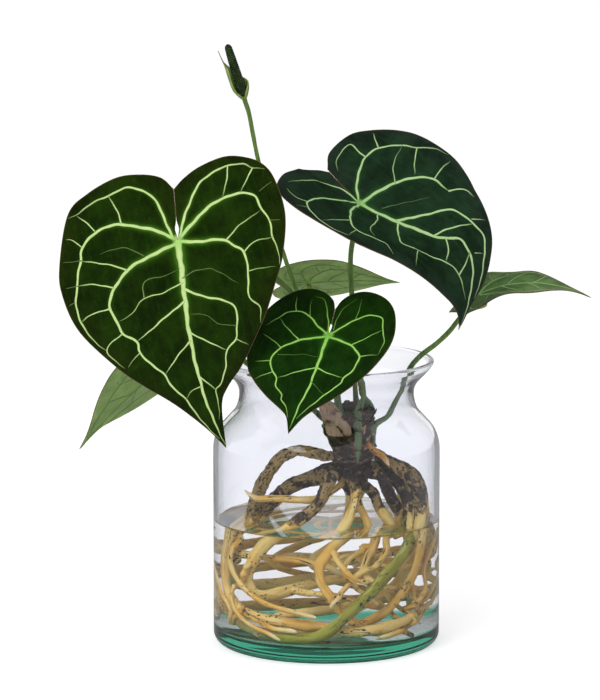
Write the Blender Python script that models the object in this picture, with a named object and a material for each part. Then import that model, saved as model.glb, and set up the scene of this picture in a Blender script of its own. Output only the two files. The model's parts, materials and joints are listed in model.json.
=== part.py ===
"""Anthurium in a glass vase: a rooted plant that stands in a clear jar of water.

Metres, +Z up. The origin is the middle of the vase's flat foot, +X is to the right and
-Y is the front. Places below are in millimetres and pass through mm() or MM.

The vase and its water are turned shapes. The woody crown sits in the vase's neck. Petioles,
flower stalk and roots are tubes that start on the crown's facets, and each leaf blade is a
thin closed shell bent from a flat heart outline.
"""

import math

import bmesh
import bpy
import numpy as np
from mathutils import Vector
from mathutils.bvhtree import BVHTree

MM = 0.001
GAP = 0.3 * MM                 # between pieces that touch

# Vase
BODY_RADIUS = 75.0             # outside of the straight wall
WALL = 3.0
FOOT_THICKNESS = 9.5
HEEL_RADIUS = 8.0              # outside, between the foot and the wall
FLOOR_FILLET = 5.0             # inside, between the floor and the wall
SHOULDER_START = 131.0         # height where the wall turns inward
NECK_RADIUS = 57.5
NECK_HEIGHT = 168.0            # narrowest height
RIM_RADIUS = 72.4
RIM_HEIGHT = 190.5
VASE_SEGMENTS = 40

# Water
WATER_LEVEL = 83.0
WATER_SEGMENTS = 40

# Crown, the woody stem that everything grows from
CROWN_X = 17.0
CROWN_SEGMENTS = 12
CROWN_PROFILE = ((5.0, 109.0), (10.0, 113.0), (13.2, 121.0), (13.6, 131.0), (13.0, 140.0),
                 (11.6, 150.0), (8.2, 158.0), (4.0, 162.0))

# Leaf blades and stalks
BLADE_THICKNESS = 0.9
BLADE_RINGS = (0.3, 0.65, 1.0)
SEAT_GAP = 0.7                 # stalk end to blade, along the blade's normal
SEAT_AHEAD = 1.5               # stalk end to the blade's joint, along the midrib
PETIOLE_RADII = (3.0, 1.7, 2.1)           # at the crown, on the way and under the blade
FLOWER_STALK_RADII = (2.6, 1.4, 1.6)
STALK_LEAD = 3.0               # how far a stalk leaves the crown straight
STALK_KNEE = 7.0               # length of its straight end
STALK_SPACING = 13.0           # between a stalk's rings

# Roots
ROOT_SPACING = 10.5            # between a root's rings
ROOT_STATION = 4.0             # between the points that settle() moves
ROOT_CLEARANCE = 2.2           # gap that two roots are pushed to
ROOT_MARGIN = 1.9              # between a root and the glass
CROWN_CLEARANCE = 14.0         # from the crown's axis to a root's skin
BORE_CLEARANCE = 0.36          # between a root and the water round it
SETTLE_ROUNDS = 400
SETTLE_PUSH = 0.35             # part of the missing gap that one round makes up
SETTLE_EASE = 0.3              # how far a round evens out the shifts along a root
SETTLE_LAST_EASE = 0.06        # the same in the last rounds
HELD_STATIONS = 2              # points at the crown that stay where they are

# Colour, roughness and alpha of every finish
FINISHES = {
    "vase_glass": ((0.86, 0.93, 0.92), 0.05, 0.35),
    "water": ((0.93, 0.95, 0.93), 0.03, 0.35),
    "crown_bark": ((0.13, 0.08, 0.05), 0.85, 1.0),
    "sheath_paper": ((0.42, 0.24, 0.17), 0.7, 1.0),
    "leaf_olive": ((0.035, 0.055, 0.028), 0.38, 1.0),
    "leaf_slate_green": ((0.05, 0.085, 0.075), 0.36, 1.0),
    "leaf_young_green": ((0.075, 0.17, 0.05), 0.36, 1.0),
    "leaf_underside": ((0.27, 0.36, 0.21), 0.5, 1.0),
    "leaf_mid_green": ((0.12, 0.22, 0.08), 0.4, 1.0),
    "petiole_green": ((0.2, 0.29, 0.1), 0.45, 1.0),
    "spadix_green": ((0.07, 0.12, 0.06), 0.6, 1.0),
    "spathe_green": ((0.3, 0.42, 0.2), 0.45, 1.0),
    "root_cream": ((0.72, 0.6, 0.42), 0.6, 1.0),
    "root_brown": ((0.2, 0.13, 0.09), 0.75, 1.0),
    "root_green": ((0.33, 0.4, 0.16), 0.55, 1.0),
    "root_orange": ((0.6, 0.27, 0.07), 0.5, 1.0),
}


def mm(x, y, z):
    return Vector((x * MM, y * MM, z * MM))


def material(finish):
    """The material of a finish, made when it is first asked for."""
    shader_material = bpy.data.materials.get(finish)
    if shader_material is None:
        colour, roughness, alpha = FINISHES[finish]
        shader_material = bpy.data.materials.new(finish)
        shader_material.use_nodes = True
        shader = shader_material.node_tree.nodes["Principled BSDF"]
        shader.inputs["Base Color"].default_value = (*colour, 1.0)
        shader.inputs["Roughness"].default_value = roughness
        shader.inputs["Alpha"].default_value = alpha
    return shader_material


def add_object(name, data, finish):
    obj = bpy.data.objects.new(name, data)
    bpy.context.scene.collection.objects.link(obj)
    obj.data.materials.append(material(finish))
    return obj


def mesh_object(name, bm, finish, sharp_angle):
    """A mesh object with its normals outward and its edges sharp above an angle in degrees."""
    bmesh.ops.recalc_face_normals(bm, faces=bm.faces)
    mesh = bpy.data.meshes.new(name)
    bm.to_mesh(mesh)
    bm.free()
    mesh.shade_smooth()
    mesh.set_sharp_from_angle(angle=math.radians(sharp_angle))
    return add_object(name, mesh, finish)


# ---------------------------------------------------------------- turned shapes

def turned(profile, segments, centre=(0.0, 0.0)):
    """Spin a (radius, height) profile, whose ends lie on the axis, into a closed body."""
    bm = bmesh.new()
    verts = [bm.verts.new(mm(centre[0] + radius, centre[1], height)) for radius, height in profile]
    edges = [bm.edges.new(pair) for pair in zip(verts, verts[1:])]
    bmesh.ops.spin(bm, geom=verts + edges, cent=mm(*centre, 0.0), axis=(0.0, 0.0, 1.0),
                   angle=math.tau, steps=segments, use_duplicate=False, use_merge=True)
    bmesh.ops.remove_doubles(bm, verts=bm.verts, dist=0.01 * MM)
    return bm


def arc(centre, radius, start, end, steps):
    """Points of a quarter or other arc in the (radius, height) plane, angles in degrees."""
    points = []
    for step in range(steps + 1):
        angle = math.radians(start + (end - start) * step / steps)
        points.append((centre[0] + radius * math.cos(angle), centre[1] + radius * math.sin(angle)))
    return points


def smooth_profile(points, steps):
    """A Catmull-Rom curve through hand-set profile points."""
    return [tuple(point) for point in spline(np.array(points, dtype=float), steps)]


def spline(points, steps):
    """Catmull-Rom through all points, with `steps` spans between neighbours."""
    padded = np.vstack([2 * points[0] - points[1], points, 2 * points[-1] - points[-2]])
    curve = []
    for index in range(1, len(padded) - 2):
        before, start, end, after = padded[index - 1:index + 3]
        for step in range(steps):
            t = step / steps
            curve.append(0.5 * (2 * start + (end - before) * t
                                + (2 * before - 5 * start + 4 * end - after) * t ** 2
                                + (3 * start - before - 3 * end + after) * t ** 3))
    curve.append(points[-1])
    return np.array(curve)


def floor_fillet(wall, floor):
    """The rounded corner between the vase's floor and its wall, from the floor up."""
    centre = (wall - FLOOR_FILLET, floor + FLOOR_FILLET)
    return arc(centre, FLOOR_FILLET, -90.0, 0.0, 3)


def make_vase():
    """The jar: a thick foot, a straight wall, a drawn-in neck and a flared rim."""
    inner = BODY_RADIUS - WALL
    shoulder_out = smooth_profile([(BODY_RADIUS, SHOULDER_START), (73.2, 141.0), (66.8, 148.8),
                                   (60.2, 155.5), (NECK_RADIUS, NECK_HEIGHT - 4.0),
                                   (58.4, 178.0), (63.6, 185.6), (RIM_RADIUS - 1.2, 188.6)], 2)
    shoulder_in = smooth_profile([(RIM_RADIUS - 2.2, RIM_HEIGHT - 0.2), (61.8, 187.4), (55.8, 179.4),
                                  (NECK_RADIUS - WALL, NECK_HEIGHT - 4.0), (57.4, 154.0),
                                  (64.6, 146.0), (70.3, 139.6), (inner, SHOULDER_START)], 2)
    profile = [(0.0, 0.0)]
    profile += arc((BODY_RADIUS - HEEL_RADIUS, HEEL_RADIUS), HEEL_RADIUS, -90.0, 0.0, 4)
    profile += shoulder_out
    profile += [(RIM_RADIUS, 189.6), (RIM_RADIUS - 0.8, RIM_HEIGHT)]
    profile += shoulder_in
    profile += floor_fillet(inner, FOOT_THICKNESS)[::-1]
    profile += [(0.0, FOOT_THICKNESS)]
    mesh_object("vase", turned(profile, VASE_SEGMENTS), "vase_glass", 35.0)


def make_crown():
    """The woody crown, and a search tree of its facets for what grows from them."""
    profile = [(0.0, CROWN_PROFILE[0][1]), *CROWN_PROFILE, (0.0, CROWN_PROFILE[-1][1])]
    crown = mesh_object("crown", turned(profile, CROWN_SEGMENTS, (CROWN_X, 0.0)), "crown_bark", 50.0)
    shape = bmesh.new()
    shape.from_mesh(crown.data)
    crown_tree = BVHTree.FromBMesh(shape)
    shape.free()
    return crown_tree


def crown_seat(crown_tree, azimuth, height):
    """The point and the facet normal where a tube leaves the crown, looking out from its axis."""
    angle = math.radians(azimuth)
    direction = Vector((math.cos(angle), math.sin(angle), 0.0))
    hit, normal, _, _ = crown_tree.ray_cast(mm(CROWN_X, 0.0, height), direction)
    if normal.dot(direction) < 0.0:
        normal = -normal
    return hit + normal * GAP, normal


# ---------------------------------------------------------------- tubes

def resample(points, spacing):
    """Points at even spacing along a polyline."""
    steps = np.linalg.norm(np.diff(points, axis=0), axis=1)
    along = np.concatenate([[0.0], np.cumsum(steps)])
    count = max(3, int(round(along[-1] / spacing)) + 1)
    stations = np.linspace(0.0, along[-1], count)
    return np.stack([np.interp(stations, along, points[:, axis]) for axis in range(3)], axis=1)


def tube(name, points, radii, resolution, finish):
    """A round bar along a polyline as a bevelled curve with filled ends."""
    curve = bpy.data.curves.new(name, "CURVE")
    curve.dimensions = "3D"
    curve.bevel_depth = 1.0 * MM
    curve.bevel_resolution = resolution
    curve.render_resolution_u = 0
    curve.use_fill_caps = True
    line = curve.splines.new("POLY")
    line.points.add(len(points) - 1)
    for station, point, radius in zip(line.points, points, radii):
        station.co = (*point, 1.0)
        station.radius = radius
    line.use_smooth = True
    return add_object(name, curve, finish)


def stalk_radii(count, start, middle, end):
    """Radii that fall from a wide base to a slim middle and swell a little at the far end."""
    flare = 0.16
    knee = 0.07
    radii = []
    for index in range(count):
        t = index / (count - 1)
        near = max(0.0, 1.0 - t / flare)
        far = max(0.0, 1.0 - (1.0 - t) / knee)
        radii.append(middle + (start - middle) * near ** 1.5 + (end - middle) * far)
    return radii


def stalk(name, seat, waypoints, end, end_normal, radii):
    """A stalk from a crown facet through its waypoints, to an end that it meets squarely."""
    start, normal = seat
    leave = start + normal * (STALK_LEAD * MM)
    arrive = end - end_normal * (STALK_KNEE * MM)
    guide = np.array([leave, *[mm(*point) for point in waypoints], arrive])
    body = resample(spline(guide, 8), STALK_SPACING * MM)
    points = [start, *[Vector(point) for point in body], end]
    tube(name, points, stalk_radii(len(points), *radii), 2, "petiole_green")


# ---------------------------------------------------------------- leaf blades

class Leaf:
    """A heart-shaped blade: a flat outline about the stalk's joint, bent into its place.

    base and tip are the joint and the point of the blade. face is the way its upper side
    looks. left and right are the halves' outlines. slit is how far, in degrees, the slit at
    the joint lies to the right of straight back. bend is the turn of the midrib in degrees,
    from bend_start of its length on. folds raise each half about the midrib, droop lowers the
    margins, and waves are the size and number of ripples round the joint.
    """

    def __init__(self, base, tip, face, left, right, slit=0.0, bend=20.0, bend_start=0.0,
                 folds=(10.0, 10.0), droop=0.0015, waves=(0.0, 0.0)):
        self.base = np.array(base, dtype=float)
        self.left = left
        self.right = right
        self.slit = slit
        self.folds = [math.radians(fold) for fold in folds]
        self.droop = droop
        self.waves = waves
        self.bend = math.radians(bend)
        self.bend_start = bend_start
        chord = np.array(tip, dtype=float) - self.base
        run, fall = self.midrib(1.0, 1.0)
        self.length = np.linalg.norm(chord) / math.hypot(run, fall)
        chord /= np.linalg.norm(chord)
        face = np.array(face, dtype=float)
        face -= chord * face.dot(chord)
        face /= np.linalg.norm(face)
        turn = math.atan2(-fall, run)
        self.forward = chord * math.cos(turn) + face * math.sin(turn)
        self.up = face * math.cos(turn) - chord * math.sin(turn)
        self.side = np.cross(self.up, self.forward)

    def midrib(self, along, length):
        """How far the midrib has run and fallen at a distance along it."""
        straight = self.bend_start * length
        radius = (length - straight) / self.bend
        angle = max(0.0, along - straight) / radius
        run = min(along, straight) + radius * math.sin(angle)
        return run, -radius * (1.0 - math.cos(angle))

    def turn(self, fraction):
        """The midrib's turn, at a fraction of its length."""
        ease = min(1.0, max(0.0, (fraction - self.bend_start) / (1.0 - self.bend_start)))
        return self.bend * ease

    def place(self, across, along):
        """A point of the blade's middle surface in millimetres. Across is + to its right."""
        run, fall = self.midrib(along, self.length)
        angle = self.turn(along / self.length)
        up = self.up * math.cos(angle) + self.forward * math.sin(angle)
        fold = self.folds[1] if across > 0.0 else self.folds[0]
        fold *= 1.0 - 0.85 * min(1.0, max(0.0, along / self.length)) ** 1.5
        near_midrib = min(1.0, abs(across) / (0.08 * self.length))
        lift = abs(across) * math.sin(fold) * near_midrib - self.droop * across ** 2
        size, count = self.waves
        lift += size * math.sin(count * math.atan2(across, along)) * (abs(across) / self.length)
        return (self.base + self.forward * run + self.up * fall
                + self.side * across * math.cos(fold) + up * lift)

    def heading(self, angle):
        """An angle of a blade with a straight slit, moved round for this blade's slit."""
        slit = self.slit if angle < 0.0 else -self.slit
        return angle * (1.0 + slit / 180.0)

    def radius(self, heading):
        """Reach of the outline from the joint, at an angle from the midrib in degrees."""
        side = self.right if heading > 0.0 else self.left
        angles, reaches = zip(*side)
        return self.length * float(np.interp(abs(heading), angles, reaches))

    def joint(self):
        """The place under the blade where its stalk ends, and the blade's normal there."""
        step = SEAT_AHEAD
        at = self.place(0.0, step)
        run = self.place(0.0, 2 * step) - self.place(0.0, 0.0)
        across = self.place(step, step) - self.place(-step, step)
        normal = np.cross(run, across)
        normal /= np.linalg.norm(normal)
        under = at - normal * (BLADE_THICKNESS / 2 + SEAT_GAP)
        return Vector(under) * MM, Vector(normal)


SINUS = 176.0                   # the outline's last angle, beside the slit at the joint
OUTLINE_ANGLES = (1.5, 5, 10, 18, 28, 40, 53, 67, 82, 97, 112, 126, 139, 151, 162, SINUS)


def make_blade(name, leaf, finish):
    """The closed shell of a blade: an upper and a lower skin and the margin between them."""
    bm = bmesh.new()
    angles = [-angle for angle in reversed(OUTLINE_ANGLES)] + [0.0] + list(OUTLINE_ANGLES)
    middle = [leaf.place(0.0, 0.0)]
    for ring in BLADE_RINGS:
        for angle in angles:
            reach = leaf.radius(leaf.heading(angle)) * ring
            heading = math.radians(leaf.heading(angle))
            middle.append(leaf.place(reach * math.sin(heading), reach * math.cos(heading)))
    verts = [bm.verts.new(mm(*point)) for point in middle]
    count = len(angles)
    for index in range(count - 1):
        bm.faces.new((verts[0], verts[1 + index + 1], verts[1 + index]))
        for ring in range(len(BLADE_RINGS) - 1):
            inner = 1 + ring * count + index
            outer = inner + count
            bm.faces.new((verts[inner], verts[inner + 1], verts[outer + 1], verts[outer]))
    bm.normal_update()
    if sum((face.normal for face in bm.faces), Vector()).dot(Vector(leaf.up)) < 0.0:
        bmesh.ops.reverse_faces(bm, faces=bm.faces)
    bmesh.ops.triangulate(bm, faces=bm.faces)
    bm.normal_update()
    normals = [vert.normal.copy() for vert in bm.verts]
    for vert, normal in zip(bm.verts, normals):
        vert.co += normal * (BLADE_THICKNESS * MM / 2)
    upper = list(bm.verts)
    upper_faces = list(bm.faces)
    rim_edges = [edge for edge in bm.edges if edge.is_boundary]
    lower = [bm.verts.new(vert.co - normal * BLADE_THICKNESS * MM)
             for vert, normal in zip(upper, normals)]
    place = {vert: index for index, vert in enumerate(upper)}
    for face in upper_faces:
        bm.faces.new([lower[place[vert]] for vert in reversed(face.verts)])
    for edge in rim_edges:
        first, second = edge.verts
        bm.faces.new((first, second, lower[place[second]], lower[place[first]]))
    mesh_object(name, bm, finish, 50.0)


# Outlines as (angle from the midrib, reach as a fraction of the midrib) for each half.
BROAD_LEFT = ((0, 1.0), (4, 0.9), (10, 0.81), (16, 0.753), (27, 0.697), (39, 0.66), (60, 0.63),
              (77, 0.6), (90, 0.567), (115, 0.529), (129, 0.477), (147, 0.412), (162, 0.354),
              (177, 0.302), (188, 0.238))
BROAD_RIGHT = ((0, 1.0), (2, 0.8), (6, 0.724), (14, 0.661), (25, 0.59), (38, 0.54), (54, 0.507),
               (69, 0.507), (90, 0.528), (108, 0.542), (118, 0.537), (127, 0.5), (137, 0.445),
               (150, 0.355), (162, 0.285), (172, 0.238))
FOLDED_LEFT = ((0, 1.0), (3, 0.84), (11, 0.71), (20, 0.62), (33, 0.55), (56, 0.51), (70, 0.51),
               (86, 0.532), (99, 0.548), (112, 0.55), (124, 0.52), (143, 0.45), (160, 0.4),
               (173, 0.38), (184, 0.33), (192, 0.27))
FOLDED_RIGHT = ((0, 1.0), (4, 0.89), (7, 0.855), (13, 0.81), (21, 0.75), (30, 0.7), (43, 0.635),
                (57, 0.6), (71, 0.572), (91, 0.53), (106, 0.5), (123, 0.466), (138, 0.44),
                (157, 0.37), (168, 0.29))
YOUNG_LEFT = ((0, 1.0), (4, 0.87), (9, 0.825), (22, 0.785), (36, 0.765), (49, 0.745), (75, 0.685),
              (103, 0.628), (125, 0.608), (140, 0.575), (152, 0.508), (163, 0.405), (168, 0.3))
YOUNG_RIGHT = ((0, 1.0), (5, 0.855), (12, 0.763), (25, 0.678), (42, 0.612), (61, 0.577),
               (83, 0.567), (102, 0.574), (120, 0.588), (135, 0.61), (149, 0.613), (164, 0.585),
               (177, 0.525), (186, 0.42), (192, 0.3))
HEART = ((0, 1.0), (4, 0.88), (11, 0.78), (20, 0.71), (38, 0.63), (60, 0.59), (90, 0.55),
         (112, 0.54), (127, 0.51), (142, 0.45), (160, 0.37), (176, 0.28))
SLENDER = ((0, 1.0), (3, 0.84), (8, 0.73), (18, 0.62), (36, 0.53), (60, 0.47), (90, 0.42),
           (112, 0.4), (130, 0.36), (148, 0.3), (165, 0.25), (176, 0.2))

# Each leaf: its finish and its blade.
LEAVES = {
    "leaf_front_left": ("leaf_olive",
                        Leaf((-96, -58, 277), (-65, -72, 143.5), (-0.1, -1.0, 0.22), BROAD_LEFT,
                             BROAD_RIGHT, 8, 14, folds=(8, 10), droop=0.0008, waves=(3.0, 3))),
    "leaf_right": ("leaf_slate_green",
                   Leaf((22, -6, 294), (86, -24, 213), (0.25, -0.62, 0.75), FOLDED_LEFT,
                        FOLDED_RIGHT, 12, 95, bend_start=0.42, folds=(24, 24), droop=0.0005)),
    "leaf_front_small": ("leaf_young_green",
                         Leaf((1, -58, 215), (-25, -98, 157.5), (-0.28, -0.86, 0.42), YOUNG_LEFT,
                              YOUNG_RIGHT, -12, 28, folds=(6, 6))),
    "leaf_back_left": ("leaf_underside",
                       Leaf((-92, 30, 191), (-166, 46, 121), (-0.63, 0.42, 0.64), HEART, HEART,
                            0, 20, folds=(8, 8), droop=0.0012)),
    "leaf_back": ("leaf_underside",
                  Leaf((-13, 74, 230), (50, 76, 230), (0.0, 0.5, 0.87), HEART, HEART, 0, 14,
                       folds=(6, 6), droop=0.001)),
    "leaf_back_right": ("leaf_mid_green",
                        Leaf((101, 34, 228), (176, 26, 227), (0.1, -0.18, 1.0), SLENDER, SLENDER,
                             0, 54, folds=(4, 4), droop=0.0006)),
}

# Each stalk: the leaf it carries, its azimuth and height on the crown and its way up.
PETIOLES = {
    "petiole_front_left": ("leaf_front_left", 225, 154,
                           ((6, -4, 176), (-6, 0, 204), (-26, -6, 238), (-62, -34, 267))),
    "petiole_right": ("leaf_right", 15, 154, ((20, 2, 180), (17, 0, 225), (16, 0, 262))),
    "petiole_front_small": ("leaf_front_small", 285, 154,
                            ((24, -18, 170), (20, -32, 190), (9, -44, 207))),
    "petiole_back_left": ("leaf_back_left", 165, 145,
                          ((-4, 4, 151), (-30, 9, 168), (-66, 15, 194.3), (-80, 19, 196))),
    "petiole_back": ("leaf_back", 75, 154, ((18, 12, 176), (10, 32, 202), (-6, 58, 216))),
    "petiole_back_right": ("leaf_back_right", 345, 145,
                           ((36, -2, 145), (44, -4, 159), (50.5, -7, 173), (57, -12, 190.5),
                            (66, -15, 197.5), (80, -8, 209), (92, 14, 219))),
}

FLOWER_SEAT = (135, 154)       # azimuth and height on the crown
FLOWER_STALK_WAY = ((4, 12, 178), (-12, 16, 214), (-27, 14, 254), (-43, 12, 312))
FLOWER_BASE = (-53.0, 10.0, 358.0)
SPADIX_TIP = (-65.0, 6.0, 397.0)
SPADIX_RADII = (2.9, 3.1, 3.0, 2.8, 2.5, 2.1, 1.2)

SPATHE_AWAY = (-1.0, 0.35, 0.0)           # side of the spadix that the spathe stands on
SPATHE_STAND_OFF = 3.9         # from the spadix's axis at the spathe's foot
SPATHE_LEAN = 2.0              # how much farther off its tip stands
SPATHE_START = 1.5             # above the spadix's foot
SPATHE_LENGTH = 36.0
SPATHE_WIDTH = 5.2             # half of the widest part
SPATHE_CUP = (75.0, 50.0)      # half of the arc that it bends round, at its foot and its tip
SPATHE_THICKNESS = 0.8

SHEATH_AZIMUTH = 257.0
SHEATH_WIDTH = 15.0
SHEATH_HEIGHT = 27.0
SHEATH_FLARE = 5.0             # how far its tip leans out
SHEATH_CURL = 2.0              # how far its sides lie behind its middle
SHEATH_STAND_OFF = 0.7         # from the crown's flank
SHEATH_THICKNESS = 0.8


def make_leaves(crown_tree):
    for name, (finish, leaf) in LEAVES.items():
        make_blade(name, leaf, finish)
    for name, (leaf_name, azimuth, height, way) in PETIOLES.items():
        end, normal = LEAVES[leaf_name][1].joint()
        stalk(name, crown_seat(crown_tree, azimuth, height), way, end, normal, PETIOLE_RADII)


def sheet(name, rows, finish, thickness):
    """A thin body of even thickness on rows of points."""
    bm = bmesh.new()
    grid = [[bm.verts.new(point) for point in row] for row in rows]
    for lower, higher in zip(grid, grid[1:]):
        for index in range(len(lower) - 1):
            bm.faces.new((lower[index], lower[index + 1], higher[index + 1], higher[index]))
    obj = mesh_object(name, bm, finish, 60.0)
    solid = obj.modifiers.new("thickness", "SOLIDIFY")
    solid.thickness = thickness * MM
    solid.offset = 0.0


def make_flower(crown_tree):
    """The stalk, the club-shaped spadix on its end and the spathe that stands behind it."""
    base = mm(*FLOWER_BASE)
    lean = (mm(*SPADIX_TIP) - base).normalized()
    stalk("flower_stalk", crown_seat(crown_tree, *FLOWER_SEAT), FLOWER_STALK_WAY, base, lean,
          FLOWER_STALK_RADII)
    length = (mm(*SPADIX_TIP) - base).length
    points = [base + lean * (GAP + length * step / (len(SPADIX_RADII) - 1))
              for step in range(len(SPADIX_RADII))]
    tube("spadix", points, SPADIX_RADII, 3, "spadix_green")
    make_spathe(base, lean)


def make_spathe(base, lean):
    """A narrow boat-shaped bract along the spadix, slim at its foot and pointed at its tip."""
    away = Vector(SPATHE_AWAY)
    away = (away - lean * away.dot(lean)).normalized()
    side = lean.cross(away)
    steps = 8
    columns = 5
    rows = []
    for step in range(steps + 1):
        t = step / steps
        half = 0.25 + SPATHE_WIDTH * math.sin(math.pi * (0.22 + 0.78 * t)) ** 0.8
        cup = math.radians(SPATHE_CUP[0] + (SPATHE_CUP[1] - SPATHE_CUP[0]) * t)
        middle = base + lean * ((SPATHE_START + SPATHE_LENGTH * t) * MM)
        middle += away * ((SPATHE_STAND_OFF + SPATHE_LEAN * t ** 2) * MM)
        row = []
        for column in range(columns + 1):
            angle = cup * (2.0 * column / columns - 1.0)
            across = side * math.sin(angle) / math.sin(cup)
            back = away * (math.cos(angle) - 1.0) * 0.6
            row.append(middle + (across + back) * half * MM)
        rows.append(row)
    sheet("spathe", rows, "spathe_green", SPATHE_THICKNESS)


def make_sheath():
    """The dry papery bract that stands against the crown's upper flank."""
    angle = math.radians(SHEATH_AZIMUTH)
    out = Vector((math.cos(angle), math.sin(angle), 0.0))
    side = Vector((-out.y, out.x, 0.0))
    flank, foot = CROWN_PROFILE[4]
    foot += 2.0
    steps = 5
    columns = 4
    rows = []
    for step in range(steps + 1):
        t = step / steps
        half = SHEATH_WIDTH / 2 * math.cos(t * math.radians(78.0)) ** 0.6
        row = []
        for column in range(columns + 1):
            across = 2.0 * column / columns - 1.0
            reach = flank + SHEATH_STAND_OFF + SHEATH_FLARE * t ** 1.4 - SHEATH_CURL * across ** 2
            spot = mm(CROWN_X, 0.0, foot + SHEATH_HEIGHT * t)
            row.append(spot + (out * reach + side * across * half) * MM)
        rows.append(row)
    sheet("sheath", rows, "sheath_paper", SHEATH_THICKNESS)


# ---------------------------------------------------------------- roots

# Azimuth and height on the crown, radius, and the way through the vase.
ROOTS = (
    (195, 126, 4.3, ((-2, -5, 125), (-8, -7, 129), (-18, -8, 131), (-28, -8, 127), (-36, -7, 118),
                     (-42, -6, 108), (-46, -6, 98), (-50, -8, 84), (-55, -10, 68), (-58, -12, 52),
                     (-58, -18, 38), (-52, -32, 28), (-40, -46, 24), (-22, -56, 23), (0, -60, 22),
                     (24, -56, 22), (44, -44, 24), (56, -28, 28))),
    (165, 117, 4.8, ((4, 3, 110), (-10, 3, 108), (-24, 2, 103), (-32, 1, 97), (-39, 0, 90),
                     (-45, 1, 80), (-48, 3, 68), (-48, 8, 54), (-44, 18, 42), (-32, 30, 36),
                     (-14, 38, 38), (6, 42, 42), (26, 42, 44), (44, 32, 44))),
    (225, 111, 2.7, ((4, -12, 104), (-6, -15, 99), (-18, -17, 99), (-30, -18, 100),
                     (-42, -19, 100), (-50, -19, 101), (-54, -18, 106))),
    (225, 117, 4.3, ((6, -19, 115), (1, -23, 106), (-5, -27, 97), (-14, -29, 90), (-25, -31, 82),
                     (-36, -30, 72), (-43, -28, 60), (-46, -28, 48), (-40, -30, 39), (-27, -24, 40),
                     (-13, -14, 43), (1, -6, 46), (16, 2, 47), (32, 8, 46))),
    (255, 117, 3.6, ((19, -18, 108), (18, -25, 98), (13, -33, 87), (6, -40, 76), (-2, -46, 66),
                     (-5, -51, 56), (0, -54, 44), (7, -56, 33), (15, -57, 24), (26, -52, 17),
                     (38, -44, 16))),
    (345, 117, 4.3, ((40, -10, 112), (50, -16, 102), (56, -20, 91), (58, -26, 80), (54, -35, 70),
                     (45, -44, 60), (34, -52, 49), (22, -58, 38), (10, -61, 27), (-4, -61, 18),
                     (-18, -58, 16), (-32, -52, 16), (-44, -40, 16))),
    (15, 126, 4.4, ((36, 5, 120), (48, 6, 117), (59, 6, 110), (64, 6, 100), (66, 7, 86), (66, 8, 70),
                    (64, 12, 54), (58, 24, 40), (46, 36, 32), (28, 48, 26), (6, 56, 22),
                    (-16, 54, 20), (-36, 44, 18), (-50, 26, 16), (-56, 6, 16))),
    (315, 111, 3.8, ((31, -12, 105), (35, -15, 96), (41, -17, 88), (46, -17, 78), (46, -12, 66),
                     (42, -4, 54), (34, 2, 42), (22, 0, 33), (10, -10, 29), (-4, -22, 28),
                     (-20, -30, 26), (-36, -30, 22))),
    (315, 117, 4.0, ((38, -16, 116), (44, -14, 106), (49, -8, 96), (52, 0, 86), (53, 10, 74),
                     (50, 18, 62), (42, 24, 54), (28, 28, 52), (12, 28, 54), (-6, 26, 56),
                     (-22, 20, 58))),
    (345, 126, 3.8, ((44, -14, 122), (54, -20, 114), (60, -24, 104), (61, -26, 92), (59, -30, 78),
                     (56, -34, 64), (52, -37, 52), (44, -42, 40), (36, -46, 30), (24, -44, 21),
                     (8, -42, 16))),
    (255, 111, 2.8, ((17, -10, 102), (22, -15, 93), (27, -22, 84), (26, -26, 72), (22, -32, 62),
                     (22, -40, 54), (30, -42, 48), (40, -32, 42), (44, -18, 36), (44, -4, 30),
                     (38, 10, 24))),
    (105, 117, 4.0, ((4, 16, 114), (-10, 26, 106), (-24, 34, 96), (-36, 40, 84), (-46, 40, 70),
                     (-54, 30, 56), (-58, 16, 42), (-56, -2, 28), (-48, -20, 20), (-34, -36, 16),
                     (-14, -44, 15), (10, -46, 15))),
    (75, 117, 4.0, ((22, 20, 114), (24, 32, 104), (22, 42, 92), (14, 50, 80), (0, 56, 70),
                    (-18, 56, 64), (-34, 48, 60), (-46, 34, 58), (-48, 18, 62))),
    (45, 117, 4.0, ((36, 20, 114), (46, 30, 104), (52, 38, 92), (52, 42, 78), (44, 48, 64),
                    (28, 54, 56), (8, 58, 52), (-12, 58, 48), (-32, 52, 42), (-48, 38, 34))),
    (135, 111, 3.2, ((14, 9, 103), (16, 12, 92), (14, 16, 80), (6, 18, 68), (-4, 14, 60),
                     (-6, 4, 54), (2, -4, 56), (14, -8, 60), (26, -6, 62), (34, 4, 62))),
)
AERIAL_ROOT = (315, 135, 1.8, ((32, -15, 131), (37, -18, 128), (41, -20, 122)))
AERIAL_LEAD = 2.5
AERIAL_SPACING = 3.0


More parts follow.
